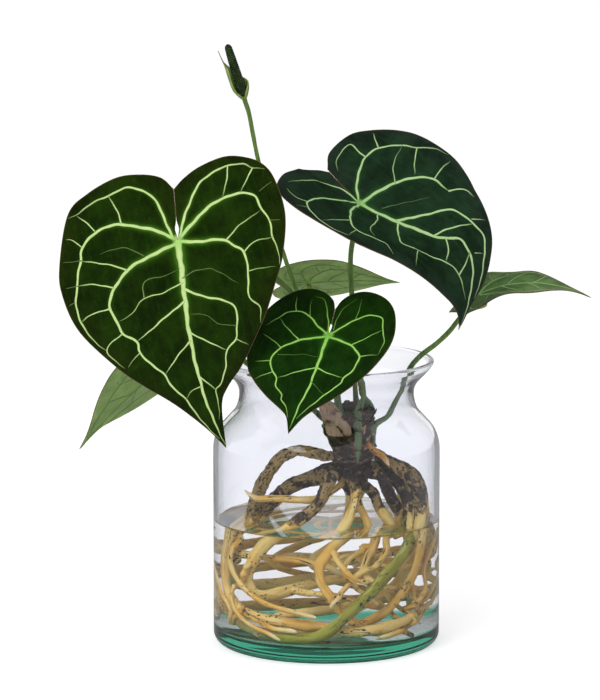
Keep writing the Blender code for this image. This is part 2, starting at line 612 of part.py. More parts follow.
def settle(ways, radii):
    """Push the roots' centre lines apart and inside the glass, in shifts that stay smooth."""
    owner = np.concatenate([np.full(len(way), index) for index, way in enumerate(ways)])
    points = np.concatenate(ways)
    drawn = points.copy()
    radius = np.concatenate([np.full(len(way), radii[index]) for index, way in enumerate(ways)])
    station = np.concatenate([np.arange(len(way)) for way in ways])
    held = station < HELD_STATIONS
    fellow = owner[:, None] == owner[None, :]
    neighbours = 5
    near_on_way = fellow & (np.abs(station[:, None] - station[None, :]) < neighbours)
    wanted = radius[:, None] + radius[None, :] + ROOT_CLEARANCE
    crown = np.array([CROWN_X, 0.0])
    for settled in range(SETTLE_ROUNDS):
        apart = points[:, None, :] - points[None, :, :]
        distance = np.linalg.norm(apart, axis=2) + 1e-6
        short = np.where(near_on_way, 0.0, np.clip(wanted - distance, 0.0, None))
        push = (apart / distance[:, :, None] * short[:, :, None]).sum(axis=1) * SETTLE_PUSH
        push[held] = 0.0
        points = points + push
        shift = points - drawn
        ease = SETTLE_EASE if settled < 0.85 * SETTLE_ROUNDS else SETTLE_LAST_EASE
        for index in range(len(ways)):
            line = np.flatnonzero(owner == index)
            inside = line[HELD_STATIONS:-1]
            middle = 0.5 * (shift[inside - 1] + shift[inside + 1])
            shift[inside] += ease * (middle - shift[inside])
            shift[line[-1]] = shift[line[-2]]
        points = drawn + shift
        reach = np.linalg.norm(points[:, :2], axis=1)
        above_floor = points[:, 2] - FOOT_THICKNESS
        fillet = 3.0 * np.clip((14.0 - above_floor) / 8.0, 0.0, 1.0)
        limit = BODY_RADIUS - WALL - ROOT_MARGIN - radius - fillet
        outside = (reach > limit) & ~held
        points[outside, :2] *= (limit[outside] / reach[outside])[:, None]
        free = ~held
        points[free, 2] = np.maximum(points[free, 2], (FOOT_THICKNESS + ROOT_MARGIN + radius)[free])
        away = points[:, :2] - crown
        spread = np.linalg.norm(away, axis=1) + 1e-6
        clear = CROWN_CLEARANCE + radius
        inside_crown = free & (points[:, 2] > CROWN_PROFILE[0][1]) & (spread < clear)
        points[inside_crown, :2] += (away * ((clear - spread) / spread)[:, None])[inside_crown]
    return [points[owner == index] for index in range(len(ways))]


def root_ways(crown_tree, roots):
    """Each root's settled centre line, in metres, from the crown's facet to its tip."""
    ways = []
    for azimuth, height, _, waypoints in roots:
        start, normal = crown_seat(crown_tree, azimuth, height)
        start = np.array(start) / MM
        lead = start + np.array(normal) * ROOT_STATION
        guide = np.vstack([lead, np.array(waypoints, dtype=float)])
        ways.append(np.vstack([start, resample(spline(guide, 8), ROOT_STATION)]))
    return settle(ways, [root[2] for root in roots])


def coarse(way):
    """A centre line with fewer stations, its first short span kept."""
    return np.vstack([way[0], resample(way[1:], ROOT_SPACING)]) * MM


def root_radii(count, radius):
    """Slimmer where it leaves the crown, then slowly tapering to a blunt tip."""
    radii = [radius * (1.0 - 0.2 * index / (count - 1)) for index in range(count)]
    radii[0] = radius * 0.7
    radii[1] = radius * 0.8
    radii[-1] = radius * 0.4
    return radii


def make_roots(crown_tree):
    """The roots, and for each the wider tube that its channel in the water is cut with."""
    brown = (1, 3, 6)
    green = (5,)
    bores = []
    for index, (root, way) in enumerate(zip(ROOTS, root_ways(crown_tree, ROOTS))):
        line = coarse(way)
        radii = root_radii(len(line), root[2])
        finish = "root_brown" if index in brown else "root_green" if index in green else "root_cream"
        tube(f"root_{index + 1:02d}", line, radii, 1, finish)
        ahead = line[-1] - line[-2]
        end = line[-1] + ahead / np.linalg.norm(ahead) * GAP
        wider = [radius + BORE_CLEARANCE for radius in radii]
        bores.append(tube(f"bore_{index + 1:02d}", np.vstack([line[:-1], end]), wider, 1, finish))
    azimuth, height, radius, waypoints = AERIAL_ROOT
    start, normal = crown_seat(crown_tree, azimuth, height)
    guide = np.array([start + normal * (AERIAL_LEAD * MM), *[mm(*point) for point in waypoints]])
    line = np.vstack([start, resample(spline(guide, 6), AERIAL_SPACING * MM)])
    tube("aerial_root", line, root_radii(len(line), radius), 1, "root_orange")
    return bores


def make_water(bores):
    """The water, GAP clear of the glass, with a channel for each root."""
    clear = GAP / MM
    wall = BODY_RADIUS - WALL - clear
    floor = FOOT_THICKNESS + clear
    profile = [(0.0, floor), *floor_fillet(wall, floor), (wall, WATER_LEVEL), (0.0, WATER_LEVEL)]
    water = mesh_object("water", turned(profile, WATER_SEGMENTS), "water", 30.0)
    cutters = bpy.data.meshes.new("root_bores")
    joined = bmesh.new()
    depsgraph = bpy.context.evaluated_depsgraph_get()
    for bore in bores:
        piece = bpy.data.meshes.new_from_object(bore.evaluated_get(depsgraph))
        joined.from_mesh(piece)
        bpy.data.objects.remove(bore)
    bmesh.ops.remove_doubles(joined, verts=joined.verts, dist=0.001 * MM)
    bmesh.ops.recalc_face_normals(joined, faces=joined.faces)
    joined.to_mesh(cutters)
    joined.free()
    cutter = bpy.data.objects.new("root_bores", cutters)
    cutter.hide_render = True
    cutter.display_type = "WIRE"
    bpy.context.scene.collection.objects.link(cutter)
    cut = water.modifiers.new("root_channels", "BOOLEAN")
    cut.operation = "DIFFERENCE"
    cut.object = cutter
    cut.solver = "EXACT"


def main():
    for obj in list(bpy.data.objects):
        bpy.data.objects.remove(obj)
    make_vase()
    crown_tree = make_crown()
    make_leaves(crown_tree)
    make_flower(crown_tree)
    make_sheath()
    make_water(make_roots(crown_tree))


main()
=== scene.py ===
"""Anthurium in a glass vase: the finished look of a rooted plant in a clear jar of water.

Each operator below models one piece, or one group of like pieces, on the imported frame. The
stage operator adds the floor, the light and the camera.
"""

import json
import math

import bmesh
import bpy
import numpy as np
from bpy.props import FloatProperty, FloatVectorProperty, IntProperty, PointerProperty
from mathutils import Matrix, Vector


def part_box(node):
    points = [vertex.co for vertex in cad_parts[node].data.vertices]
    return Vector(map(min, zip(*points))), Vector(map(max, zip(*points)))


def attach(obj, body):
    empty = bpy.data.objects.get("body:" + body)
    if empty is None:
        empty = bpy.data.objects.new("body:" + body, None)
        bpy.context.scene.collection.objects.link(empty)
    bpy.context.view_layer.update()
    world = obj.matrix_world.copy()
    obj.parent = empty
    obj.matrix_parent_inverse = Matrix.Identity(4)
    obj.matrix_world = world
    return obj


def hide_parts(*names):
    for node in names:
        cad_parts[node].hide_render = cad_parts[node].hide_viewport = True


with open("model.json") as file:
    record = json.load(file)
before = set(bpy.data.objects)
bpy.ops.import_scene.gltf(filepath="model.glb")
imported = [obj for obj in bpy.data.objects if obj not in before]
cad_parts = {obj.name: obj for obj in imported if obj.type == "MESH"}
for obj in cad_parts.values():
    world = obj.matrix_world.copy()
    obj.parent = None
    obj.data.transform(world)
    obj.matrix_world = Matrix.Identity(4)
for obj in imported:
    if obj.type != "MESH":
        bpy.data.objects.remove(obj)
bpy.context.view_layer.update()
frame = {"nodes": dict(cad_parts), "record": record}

bl_info = {
    "name": "Anthurium in a Glass Vase",
    "version": (1, 0, 0),
    "blender": (4, 5, 0),
    "location": "View3D > Sidebar > Plant",
    "description": "Models a rooted anthurium in a jar of water, piece by piece",
    "category": "Object",
}

MM = 0.001
MERGE = 0.01 * MM                       # points of the CAD that are closer than this are one
CROWN_LOW, CROWN_HIGH = (np.array(corner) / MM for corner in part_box("crown"))
CROWN_MIDDLE = 0.5 * (CROWN_LOW + CROWN_HIGH)[:2]


# ---------------------------------------------------------------- settings

def colour(name, description, default):
    return FloatVectorProperty(name=name, description=description, subtype="COLOR", size=3,
                               min=0.0, max=1.0, default=default)


def length(name, description, default):
    return FloatProperty(name=name, description=description, subtype="DISTANCE", unit="LENGTH",
                         default=default)


class VaseSettings(bpy.types.PropertyGroup):
    """Sizes and tints of the jar and its water."""
    wall: length("Wall", "Thickness of the jar's wall", 3.0 * MM)
    foot: length("Foot", "Thickness of the jar's foot", 9.5 * MM)
    segments: IntProperty(name="Segments", description="Steps round the jar", default=144)
    tint: colour("Glass tint", "Colour of the upper glass", (0.925, 0.933, 0.972))
    foot_tint: colour("Foot tint", "Colour of the thick foot", (0.05, 0.37, 0.235))
    water_tint: colour("Water tint", "Colour of the water", (0.988, 0.980, 0.945))
    meniscus: length("Meniscus", "How far the water climbs up the glass", 1.3 * MM)


class LeafSettings(bpy.types.PropertyGroup):
    """Sizes and colours of the blades."""
    thickness: length("Thickness", "Thickness of a blade away from its margin", 0.8 * MM)
    lines: IntProperty(name="Lines", description="Lines from the joint to the margin", default=250)
    rings: IntProperty(name="Rings", description="Rings from the joint to the margin", default=72)
    proud: length("Proud", "How far a vein stands out of the blade", 0.16 * MM)
    olive: colour("Olive blade", "Ground of the largest blade", (0.0088, 0.0265, 0.0003))
    olive_glow: colour("Olive glow", "Green beside its veins", (0.050, 0.165, 0.006))
    olive_vein: colour("Olive veins", "Pale core of its veins", (0.70, 0.90, 0.36))
    slate: colour("Slate blade", "Ground of the folded blade", (0.0105, 0.0305, 0.0125))
    slate_glow: colour("Slate glow", "Green beside its veins", (0.025, 0.105, 0.022))
    slate_vein: colour("Slate veins", "Pale core of its veins", (0.52, 0.74, 0.34))
    young: colour("Young blade", "Ground of the small blade", (0.0060, 0.0300, 0.0015))
    young_glow: colour("Young glow", "Green beside its veins", (0.022, 0.115, 0.005))
    young_vein: colour("Young veins", "Pale core of its veins", (0.40, 0.74, 0.16))
    back: colour("Back blade", "Ground of the blades behind", (0.105, 0.200, 0.060))
    back_glow: colour("Back glow", "Green beside their veins", (0.09, 0.24, 0.04))
    back_vein: colour("Back veins", "Pale core of their veins", (0.46, 0.64, 0.28))
    underside: colour("Underside", "Underside of every blade", (0.30, 0.45, 0.14))
    under_vein: colour("Under veins", "Veins of the underside", (0.15, 0.27, 0.07))
    margin: colour("Margin", "Thin rim of a blade", (0.16, 0.10, 0.045))


class StalkSettings(bpy.types.PropertyGroup):
    """Colours of the stalks, the flower and the crown."""
    stalk: colour("Stalk", "Green of the leaf stalks", (0.17, 0.29, 0.055))
    stalk_low: colour("Low stalk", "Their greyer green near the crown", (0.14, 0.24, 0.11))
    knee: colour("Knee", "Yellow green where a stalk meets its blade", (0.36, 0.50, 0.07))
    spadix: colour("Spadix", "Green of the flower spike", (0.018, 0.042, 0.012))
    spathe: colour("Spathe", "Green of the bract at the spike", (0.36, 0.50, 0.13))
    bark: colour("Bark", "Dark skin of the crown", (0.034, 0.019, 0.015))
    bark_pale: colour("Pale bark", "Worn edges of the crown's scales", (0.32, 0.22, 0.13))
    scar: colour("Scar", "Cream where old stalks broke off", (0.56, 0.48, 0.24))
    paper: colour("Paper", "Dry sheath", (0.50, 0.34, 0.22))


class RootSettings(bpy.types.PropertyGroup):
    """Sizes and colours of the roots."""
    station: length("Station", "Distance between two rings of a root", 0.95 * MM)
    sides: IntProperty(name="Sides", description="Faces round a root", default=18)
    knots: length("Knots", "Height of the swellings along a root", 1.1 * MM)
    flakes: length("Flakes", "Height of the rough bark on the old parts", 1.7 * MM)
    cream: colour("Cream", "Skin of the young roots", (0.93, 0.69, 0.235))
    honey: colour("Honey", "Darker skin of the young roots", (0.87, 0.51, 0.095))
    pale: colour("Pale", "Streaks and growing tips", (0.95, 0.82, 0.48))
    orange: colour("Orange", "Skin of the small root in the air", (0.66, 0.27, 0.05))
    bark: colour("Root bark", "Skin of the old parts", (0.022, 0.014, 0.011))
    tan: colour("Tan", "Worn patches of the old parts", (0.42, 0.29, 0.11))
    arch: colour("Arch", "Olive brown of the root that arches over", (0.38, 0.25, 0.075))
    speck: colour("Speck", "Specks and cracks", (0.018, 0.011, 0.008))
    green: colour("Green", "Skin of the green root", (0.34, 0.35, 0.03))


class StageSettings(bpy.types.PropertyGroup):
    """The camera, the light and the floor."""
    distance: length("Distance", "From the jar to the camera", 2.716)
    height: length("Height", "Camera above the floor", 0.630)
    aim: length("Aim", "Height that the camera looks at", 0.196)
    offset: length("Offset", "Camera to the left of the jar", 0.0175)
    lens: FloatProperty(name="Lens", description="Focal length in millimetres", default=214.5)
    key: FloatProperty(name="Key", description="Power of the large soft lamp", default=30.0)
    fill: FloatProperty(name="Sky", description="Strength of the even light", default=0.62)
    shine: FloatProperty(name="Shine", description="Strength of the front in reflections",
                         default=0.13)
    floor_light: FloatProperty(name="Floor light", description="What keeps the floor white",
                               default=0.495)


# ---------------------------------------------------------------- materials

def toned(colour, *tones):
    """A colour times one number, or times one number for each of its channels."""
    if len(tones) == 1:
        tones *= 3
    return [value * tone for value, tone in zip(colour, tones)]


def mixed(first, second, share, second_share):
    """A colour made of two others, each with its share."""
    return [share * one + second_share * other for one, other in zip(first, second)]


class Nodes:
    """A node tree being put together: helpers that add a node and return its socket."""

    def __init__(self, owner):
        owner.use_nodes = True
        self.tree = owner.node_tree

    def node(self, kind, **settings):
        node = self.tree.nodes.new("ShaderNode" + kind)
        for setting, value in settings.items():
            setattr(node, setting, value)
        return node

    def feed(self, socket, value):
        if isinstance(value, bpy.types.NodeSocket):
            self.tree.links.new(value, socket)
        elif socket.type == "RGBA":
            socket.default_value = (*value[:3], 1.0)
        else:
            socket.default_value = value

    def add(self, kind, inputs, **settings):
        """A new node with its inputs, by name or number, linked or set."""
        node = self.node(kind, **settings)
        for name, value in inputs.items():
            self.feed(node.inputs[name], value)
        return node

    def math(self, operation, first, second=0.0):
        return self.add("Math", {0: first, 1: second}, operation=operation).outputs[0]

    def span(self, value, bottom, top, low=0.0, high=1.0, kind="LINEAR"):
        """Runs from bottom to top as value goes from low to high."""
        return self.add("MapRange", {"Value": value, "From Min": low, "From Max": high,
                                     "To Min": bottom, "To Max": top},
                        interpolation_type=kind).outputs["Result"]


class Look(Nodes):
    """A surface material being put together."""

    def __init__(self, name, roughness=0.5, specular=0.5):
        self.material = bpy.data.materials.new(name)
        super().__init__(self.material)
        self.surface = self.tree.nodes["Principled BSDF"]
        self.fix("Roughness", roughness)
        self.fix("Specular IOR Level", specular)

    def fix(self, name, value):
        """Set one of the shader's own sockets."""
        self.surface.inputs[name].default_value = value

    def mapped(self, vector, scale):
        return self.add("Mapping", {"Vector": vector, "Scale": scale}).outputs["Vector"]

    def place(self, scale=(1.0, 1.0, 1.0)):
        """Object coordinates in metres, stretched by scale."""
        return self.mapped(self.node("TexCoord").outputs["Object"], scale)

    def flat(self, scale=(1.0, 1.0, 1.0)):
        """Coordinates on the flat blade, from its own map."""
        return self.mapped(self.node("UVMap", uv_map="flat").outputs[0], scale)

    def skin(self, scale=(1.0, 1.0, 1.0)):
        """Coordinates on a tube in metres: along it, then across it both ways."""
        return self.mapped(self.node("Attribute", attribute_name="skin").outputs["Vector"], scale)

    def height(self):
        """Height above the floor in metres."""
        return self.add("SeparateXYZ", {0: self.place()}).outputs["Z"]

    def noise(self, where, scale, detail=3.0, roughness=0.5):
        return self.add("TexNoise", {"Vector": where, "Scale": scale, "Detail": detail,
                                     "Roughness": roughness}).outputs["Fac"]

    def cells(self, where, scale, feature="F1"):
        return self.add("TexVoronoi", {"Vector": where, "Scale": scale},
                        feature=feature).outputs["Distance"]

    def edges(self, scale):
        """Distance to the walls of flat cells on a blade."""
        return self.cells(self.flat(), scale, "DISTANCE_TO_EDGE")

    def attribute(self, name):
        return self.node("Attribute", attribute_name=name).outputs["Fac"]

    def band(self, value, low, high, bottom=0.0, top=1.0):
        """Runs smoothly from bottom to top as value goes from low to high."""
        return self.span(value, bottom, top, low, high, "SMOOTHSTEP")

    def blend(self, factor, first, second, kind="MIX"):
        return self.add("Mix", {0: factor, 6: first, 7: second}, data_type="RGBA",
                        blend_type=kind).outputs[2]

    def bump(self, height, distance, strength=1.0):
        bump = self.add("Bump", {"Strength": strength, "Distance": distance, "Height": height})
        self.feed(self.surface.inputs["Normal"], bump.outputs["Normal"])

    def paint(self, value):
        self.feed(self.surface.inputs["Base Color"], value)

    def gloss(self, value):
        self.feed(self.surface.inputs["Roughness"], value)

    def clear(self, ior, tint):
        """A clear body. Lamps shine through it, tinted, and cast no black shadow."""
        self.fix("Transmission Weight", 1.0)
        self.fix("IOR", ior)
        through = self.add("BsdfTransparent", {"Color": tint})
        mix = self.add("MixShader", {0: self.node("LightPath").outputs["Is Shadow Ray"],
                                     1: self.surface.outputs["BSDF"], 2: through.outputs["BSDF"]})
        self.feed(self.tree.nodes["Material Output"].inputs["Surface"], mix.outputs["Shader"])


# ---------------------------------------------------------------- making pieces

def select_only(obj):
    bpy.ops.object.select_all(action="DESELECT")
    obj.select_set(True)
    bpy.context.view_layer.objects.active = obj


def edit_whole(obj):
    """Open a piece in edit mode with all of it selected."""
    select_only(obj)
    bpy.ops.object.mode_set(mode="EDIT")
    bpy.ops.mesh.select_all(action="SELECT")


def leave_edit_facing_out():
    """Turn the selected faces outward and leave edit mode."""
    bpy.ops.mesh.normals_make_consistent(inside=False)
    bpy.ops.object.mode_set(mode="OBJECT")


def face_outward(obj):
    edit_whole(obj)
    leave_edit_facing_out()


def new_piece(name, verts, faces):
    """A new mesh object, its points in metres, that stands at the origin."""
    mesh = bpy.data.meshes.new(name)
    mesh.from_pydata([tuple(vert) for vert in verts], [], faces)
    obj = bpy.data.objects.new(name, mesh)
    bpy.context.scene.collection.objects.link(obj)
    return obj


def finish_piece(obj, slot, nodes, *materials):
    """Give a piece its materials and its body, and hide the CAD nodes that it stands for; slot is
    not used.
    """
    if obj.data.materials:
        obj.data.materials.clear()
    for material in materials:
        obj.data.materials.append(material)
    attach(obj, "root")
    if nodes:
        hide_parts(*nodes)


def node_copy(node, name):
    """A copy of a CAD node's mesh with its loose triangles joined into quads."""
    obj = bpy.data.objects.new(name, frame["nodes"][node].data.copy())
    bpy.context.scene.collection.objects.link(obj)
    select_only(obj)
    bpy.ops.mesh.customdata_custom_splitnormals_clear()
    edit_whole(obj)
    bpy.ops.mesh.remove_doubles(threshold=MERGE)
    widest = math.radians(60.0)
    bpy.ops.mesh.tris_convert_to_quads(face_threshold=widest, shape_threshold=widest)
    leave_edit_facing_out()
    return obj


def subdivide(obj, levels):
    """Round a piece off by the given number of subdivisions."""
    select_only(obj)
    smooth = obj.modifiers.new("smooth", "SUBSURF")
    smooth.levels = levels
    smooth.render_levels = levels
    bpy.ops.object.modifier_apply(modifier=smooth.name)


def roughen(obj, grain, height, middle=0.5, group=""):
    """Raise the skin along its normals by a cloud pattern with lumps of the given size."""
    clouds = bpy.data.textures.new(obj.name + "_clouds", "CLOUDS")
    clouds.noise_scale = grain
    clouds.noise_depth = 2
    select_only(obj)
    raised = obj.modifiers.new("raised", "DISPLACE")
    raised.texture = clouds
    raised.strength = height
    raised.mid_level = middle
    raised.vertex_group = group
    bpy.ops.object.modifier_apply(modifier=raised.name)


def smooth_shading(obj, sharp=None):
    """Shade a piece smooth, but for edges sharper than `sharp` degrees if that is given."""
    select_only(obj)
    if sharp is None:
        bpy.ops.object.shade_smooth()
    else:
        bpy.ops.object.shade_smooth_by_angle(angle=math.radians(sharp))


def points_of(obj):
    """A piece's points in metres, one a row."""
    flat = np.empty(len(obj.data.vertices) * 3)
    obj.data.vertices.foreach_get("co", flat)
    return flat.reshape(-1, 3)


def add_attribute(obj, name, values, kind="FLOAT", field="value"):
    """Store a number, or a vector, for each point of a piece."""
    attribute = obj.data.attributes.new(name, kind, "POINT")
    attribute.data.foreach_set(field, np.ravel(values).astype(np.float32))


def shares_of(line):
    """The share of a polyline's length at each of its points."""
    along = along_line(line)
    return along / along[-1]


def unit(vectors):
    """The vectors, one a row, at length 1."""
    return vectors / np.linalg.norm(vectors, axis=-1, keepdims=True)


def turns_of(sides):
    """Angles spaced evenly all the way round."""
    return np.linspace(0.0, math.tau, sides, endpoint=False)


def wall_faces(index):
    """The faces between closed rings that hold these point numbers."""
    ahead = np.roll(index, -1, axis=1)
    return np.stack([index[:-1], ahead[:-1], ahead[1:], index[1:]], 2).reshape(-1, 4).tolist()


def tube_faces(index):
    """The walls and the two ends of a tube whose rings hold these point numbers."""
    return wall_faces(index) + [index[0, ::-1].tolist(), index[-1].tolist()]


def grid_faces(index):
    """The faces of an open sheet whose rows hold these point numbers."""
    quads = np.stack([index[:-1, :-1], index[:-1, 1:], index[1:, 1:], index[1:, :-1]], 2)
    return quads.reshape(-1, 4)


# An edge of a CAD tube that is sharper than this, in degrees, lies round one of its ends, and
# its ring is full after this many steps from one of its points.
END_EDGE = 72.0
RING_STEPS = 8


def tube_rings(node):
    """The middles and radii, in millimetres, of a CAD tube's rings, its higher end first."""
    shape = bmesh.new()
    shape.from_mesh(frame["nodes"][node].data)
    bmesh.ops.remove_doubles(shape, verts=shape.verts, dist=MERGE)
    ends = {edge for edge in shape.edges if edge.calc_face_angle(0.0) > math.radians(END_EDGE)}
    ring = {max((vert for edge in ends for vert in edge.verts), key=lambda vert: vert.co.z)}
    for _ in range(RING_STEPS):
        ring |= {edge.other_vert(vert) for vert in ring for edge in vert.link_edges
                 if edge in ends}
    middles, radii, seen = [], [], set()
    while ring:
        points = np.array([vert.co for vert in ring]) / MM
        middles.append(points.mean(axis=0))
        radii.append(np.linalg.norm(points - middles[-1], axis=1).mean())
        seen |= ring
        ring = {edge.other_vert(vert) for vert in ring for edge in vert.link_edges} - seen
    shape.free()
    return np.array(middles), np.array(radii)


def along_line(line):
    """The distance along a polyline at each of its points."""
    steps = np.linalg.norm(np.diff(line, axis=0), axis=1)
    return np.concatenate([[0.0], np.cumsum(steps)])


def skin_tube(name, line, radii, sides, tip):
    """A closed round skin along a line, in millimetres, rounded off over its last `tip`.

    radii holds one radius a ring, or one a ring and side.
    """
    along = along_line(line)
    ahead = unit(np.gradient(line, axis=0))
    beside = np.cross(ahead[0], (0.3, 1.0, 0.2))
    across = []
    for direction in ahead:
        beside = unit(beside - direction * np.dot(beside, direction))
        across.append((beside, np.cross(direction, beside)))
    left = np.clip((along[-1] - along) / tip, 0.004, 1.0)
    radii = np.asarray(radii, dtype=float).reshape(len(line), -1) * np.ones(sides)
    radii = radii * np.sqrt(1.0 - (1.0 - left) ** 2)[:, None]
    angles = turns_of(sides)
    turned = np.stack([np.cos(angles), np.sin(angles)], 1)
    out = np.einsum("sk,nkd->nsd", turned, np.array(across))
    points = line[:, None] + out * radii[..., None]
    index = np.arange(len(line) * sides).reshape(len(line), sides)
    tube = new_piece(name, points.reshape(-1, 3) * MM, tube_faces(index))
    skin = np.empty((len(line), sides, 3))
    skin[..., 0] = along[:, None]
    skin[..., 1:] = turned * radii[..., None]
    add_attribute(tube, "skin", skin * MM, "FLOAT_VECTOR", "vector")
    add_attribute(tube, "tip", np.repeat(along[-1] - along, sides))
    return tube


def sheet(grid, thick):
    """Points and faces of a closed sheet on rows of middle points, in millimetres."""
    normals = np.cross(np.gradient(grid, axis=1), np.gradient(grid, axis=0))
    normals = unit(normals) * 0.5 * thick
    count = grid.shape[0] * grid.shape[1]
    points = np.concatenate([grid + normals, grid - normals]).reshape(-1, 3)
    index = np.arange(count).reshape(grid.shape[:2])
    quads = grid_faces(index)
    rim = np.concatenate([index[0], index[1:, -1], index[-1, -2::-1], index[-2:0:-1, 0]])
    ahead = np.roll(rim, -1)
    walls = np.stack([rim, rim + count, ahead + count, ahead], 1)
    return points, np.vstack([quads, quads[:, ::-1] + count, walls])


def join(pieces):
    """Join the pieces into the first of them."""
    select_only(pieces[0])
    for piece in pieces:
        piece.select_set(True)
    bpy.ops.object.join()
    return pieces[0]


def spline(points, steps):
    """A Catmull-Rom curve through all points, with `steps` spans between neighbours."""
    points = np.array(points, dtype=float)
    padded = np.vstack([2 * points[0] - points[1], points, 2 * points[-1] - points[-2]])
    curve = []
    for index in range(1, len(padded) - 2):
        before, start, end, after = padded[index - 1:index + 3]
        for step in range(steps):
            t = step / steps
            curve.append(0.5 * (2 * start + (end - before) * t
                                + (2 * before - 5 * start + 4 * end - after) * t ** 2
                                + (3 * start - before - 3 * end + after) * t ** 3))
    curve.append(points[-1])
    return np.array(curve)


def even(points, count):
    """`count` points at even spacing along a polyline."""
    along = along_line(points)
    stations = np.linspace(0.0, along[-1], count)
    return np.stack([np.interp(stations, along, column) for column in points.T], axis=1)


def fine_line(points, station, spans=8, least=2):
    """A smooth line through the points, with points of its own every `station` or so."""
    line = spline(points, spans)
    return even(line, max(least, int(along_line(line)[-1] / station)))


def ramp(value, low, high):
    """0 below low, 1 above high and a smooth rise between."""
    t = np.clip((value - low) / (high - low), 0.0, 1.0)
    return t * t * (3.0 - 2.0 * t)


# ---------------------------------------------------------------- the jar and its water

# In millimetres: the radius of the corner between the jar's wall and its floor inside, how much
# lower that floor lies in its middle and half way out, and how far the water reaches into the
# glass, so that no film of air is left between them.
CORNER = 5.0
DISH = 0.9
HALF_DISH = 0.6
WET = 0.15
# The angle, in degrees, above which an edge of the jar or of its water stays sharp.
SHARP = 40.0


def arc(centre, radius, start, end, steps):
    """Points of an arc about a centre, between two angles in degrees."""
    angles = np.radians(np.linspace(start, end, steps + 1))
    return [(centre[0] + radius * math.cos(angle), centre[1] + radius * math.sin(angle))
            for angle in angles]


def spun(name, profile, segments):
    """A closed body turned about Z from a profile, in millimetres, that ends on the axis twice."""
    radii, heights = np.array(profile[1:-1]).T[..., None]
    turns = turns_of(segments)
    rings = np.stack([radii * np.cos(turns), radii * np.sin(turns),
                      np.repeat(heights, segments, axis=1)], 2).reshape(-1, 3)
    poles = [(radius, 0.0, height) for radius, height in (profile[0], profile[-1])]
    index = np.arange(len(rings)).reshape(-1, segments)
    first = np.full(segments, len(rings))
    ahead = np.roll(index, -1, axis=1)
    fans = np.vstack([np.stack([first, ahead[0], index[0]], 1),
                      np.stack([first + 1, index[-1], ahead[-1]], 1)])
    obj = new_piece(name, np.vstack([rings, poles]) * MM, wall_faces(index) + fans.tolist())
    face_outward(obj)
    return obj


def vase_profile(body, rim, wall, foot):
    """The jar's section from the middle of its foot, up the outside and down the inside."""
    heel = 8.0
    bead = 1.5
    inner = body - wall
    outside = [(body, 70.0), (body, 90.0), (body, rim - 76.0), (body, rim - 64.0),
               (body - 0.5, rim - 55.0), (body - 3.6, rim - 46.5), (body - 9.4, rim - 39.6),
               (body - 14.6, rim - 33.6), (body - 17.0, rim - 26.5), (body - 17.2, rim - 20.5),
               (body - 15.6, rim - 16.0), (body - 12.6, rim - 12.2), (body - 9.2, rim - 8.8),
               (body - 6.2, rim - 5.4), (body - 4.4, rim - 2.6)]
    outside = even(spline(outside, 12), 70)
    ahead = unit(np.gradient(outside, axis=0))
    thin = wall * (1.0 - 0.3 * ramp(outside[:, 1], rim - 30.0, rim - 8.0))
    inside = outside - thin[:, None] * np.stack([ahead[:, 1], -ahead[:, 0]], 1)
    inside = inside[inside[:, 1] < rim - 2.4][::-1]
    return [(0.0, 0.0), (body - heel - 8.0, 0.0), *arc((body - heel, heel), heel, -90.0, 0.0, 10),
            *outside.tolist(), *arc((body - 5.7, rim - bead), bead, -30.0, 190.0, 14),
            *inside.tolist(), *arc((inner - CORNER, foot + CORNER), CORNER, 0.0, -90.0, 8),
            (inner * 0.5, foot - HALF_DISH), (0.0, foot - DISH)]


def water_profile(wall, floor, level, climb):
    """The water's section from the middle of the floor, up the wall and back along its top."""
    return [(0.0, floor - DISH), (wall * 0.5, floor - HALF_DISH),
            *arc((wall - CORNER, floor + CORNER), CORNER, -90.0, 0.0, 8),
            (wall, level - 6.0), (wall, level + climb - 0.2), (wall - 0.2, level + climb),
            (wall - 0.7, level + 0.5 * climb), (wall - 1.5, level + 0.2 * climb),
            (wall - 3.0, level + 0.04 * climb), (wall - 5.0, level), (0.0, level)]


def glass_look(settings):
    """Clear glass with faint ripples, green in the foot up to a wavering height."""
    look = Look("jar_glass", 0.0)
    waver = look.math("MULTIPLY", look.noise(look.place(), 60.0), 4.0 * MM)
    edge = look.math("ADD", look.height(), waver)
    upper = look.band(edge, 12.5 * MM, 18.0 * MM)
    look.paint(look.blend(upper, settings.foot_tint, settings.tint))
    look.bump(look.noise(look.place((1.0, 1.0, 0.35)), 45.0, 2.0), 0.25 * MM, 0.6)
    look.clear(1.5, (0.97, 0.985, 0.98))
    return look.material


def water_look(settings):
    """Clear water with painted shade at its brim: an olive band where the meniscus shows a dark
    line.
    """
    look = Look("clear_water", 0.0)
    # painted shade: the dark olive line of the meniscus, painted on the water's top band
    brim = look.band(look.height(), 82.4 * MM, 83.6 * MM)
    look.paint(look.blend(brim, settings.water_tint, (0.62, 0.62, 0.44)))
    look.clear(1.333, (0.985, 0.985, 0.975))
    return look.material


class PLANT_OT_vase(bpy.types.Operator):
    """Turn the clear jar"""
    bl_idname = "plant.vase"
    bl_label = "Vase"

    def execute(self, context):
        settings = context.scene.plant_vase
        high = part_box("vase")[1]
        profile = vase_profile(high.x / MM, high.z / MM, settings.wall / MM, settings.foot / MM)
        vase = spun("glass_vase", profile, settings.segments)
        smooth_shading(vase, SHARP)
        finish_piece(vase, "vase_glass", ["vase"], glass_look(settings))
        return {"FINISHED"}


class PLANT_OT_water(bpy.types.Operator):
    """Fill the jar with water up to its level"""
    bl_idname = "plant.water"
    bl_label = "Water"

    def execute(self, context):
        settings = context.scene.plant_vase
        wall = (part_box("vase")[1].x - settings.wall) / MM + WET
        profile = water_profile(wall, settings.foot / MM - WET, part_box("water")[1].z / MM,
                                settings.meniscus / MM)
        water = spun("clear_water", profile, settings.segments)
        smooth_shading(water, SHARP)
        finish_piece(water, "water", ["water"], water_look(settings))
        return {"FINISHED"}


# ---------------------------------------------------------------- leaf blades

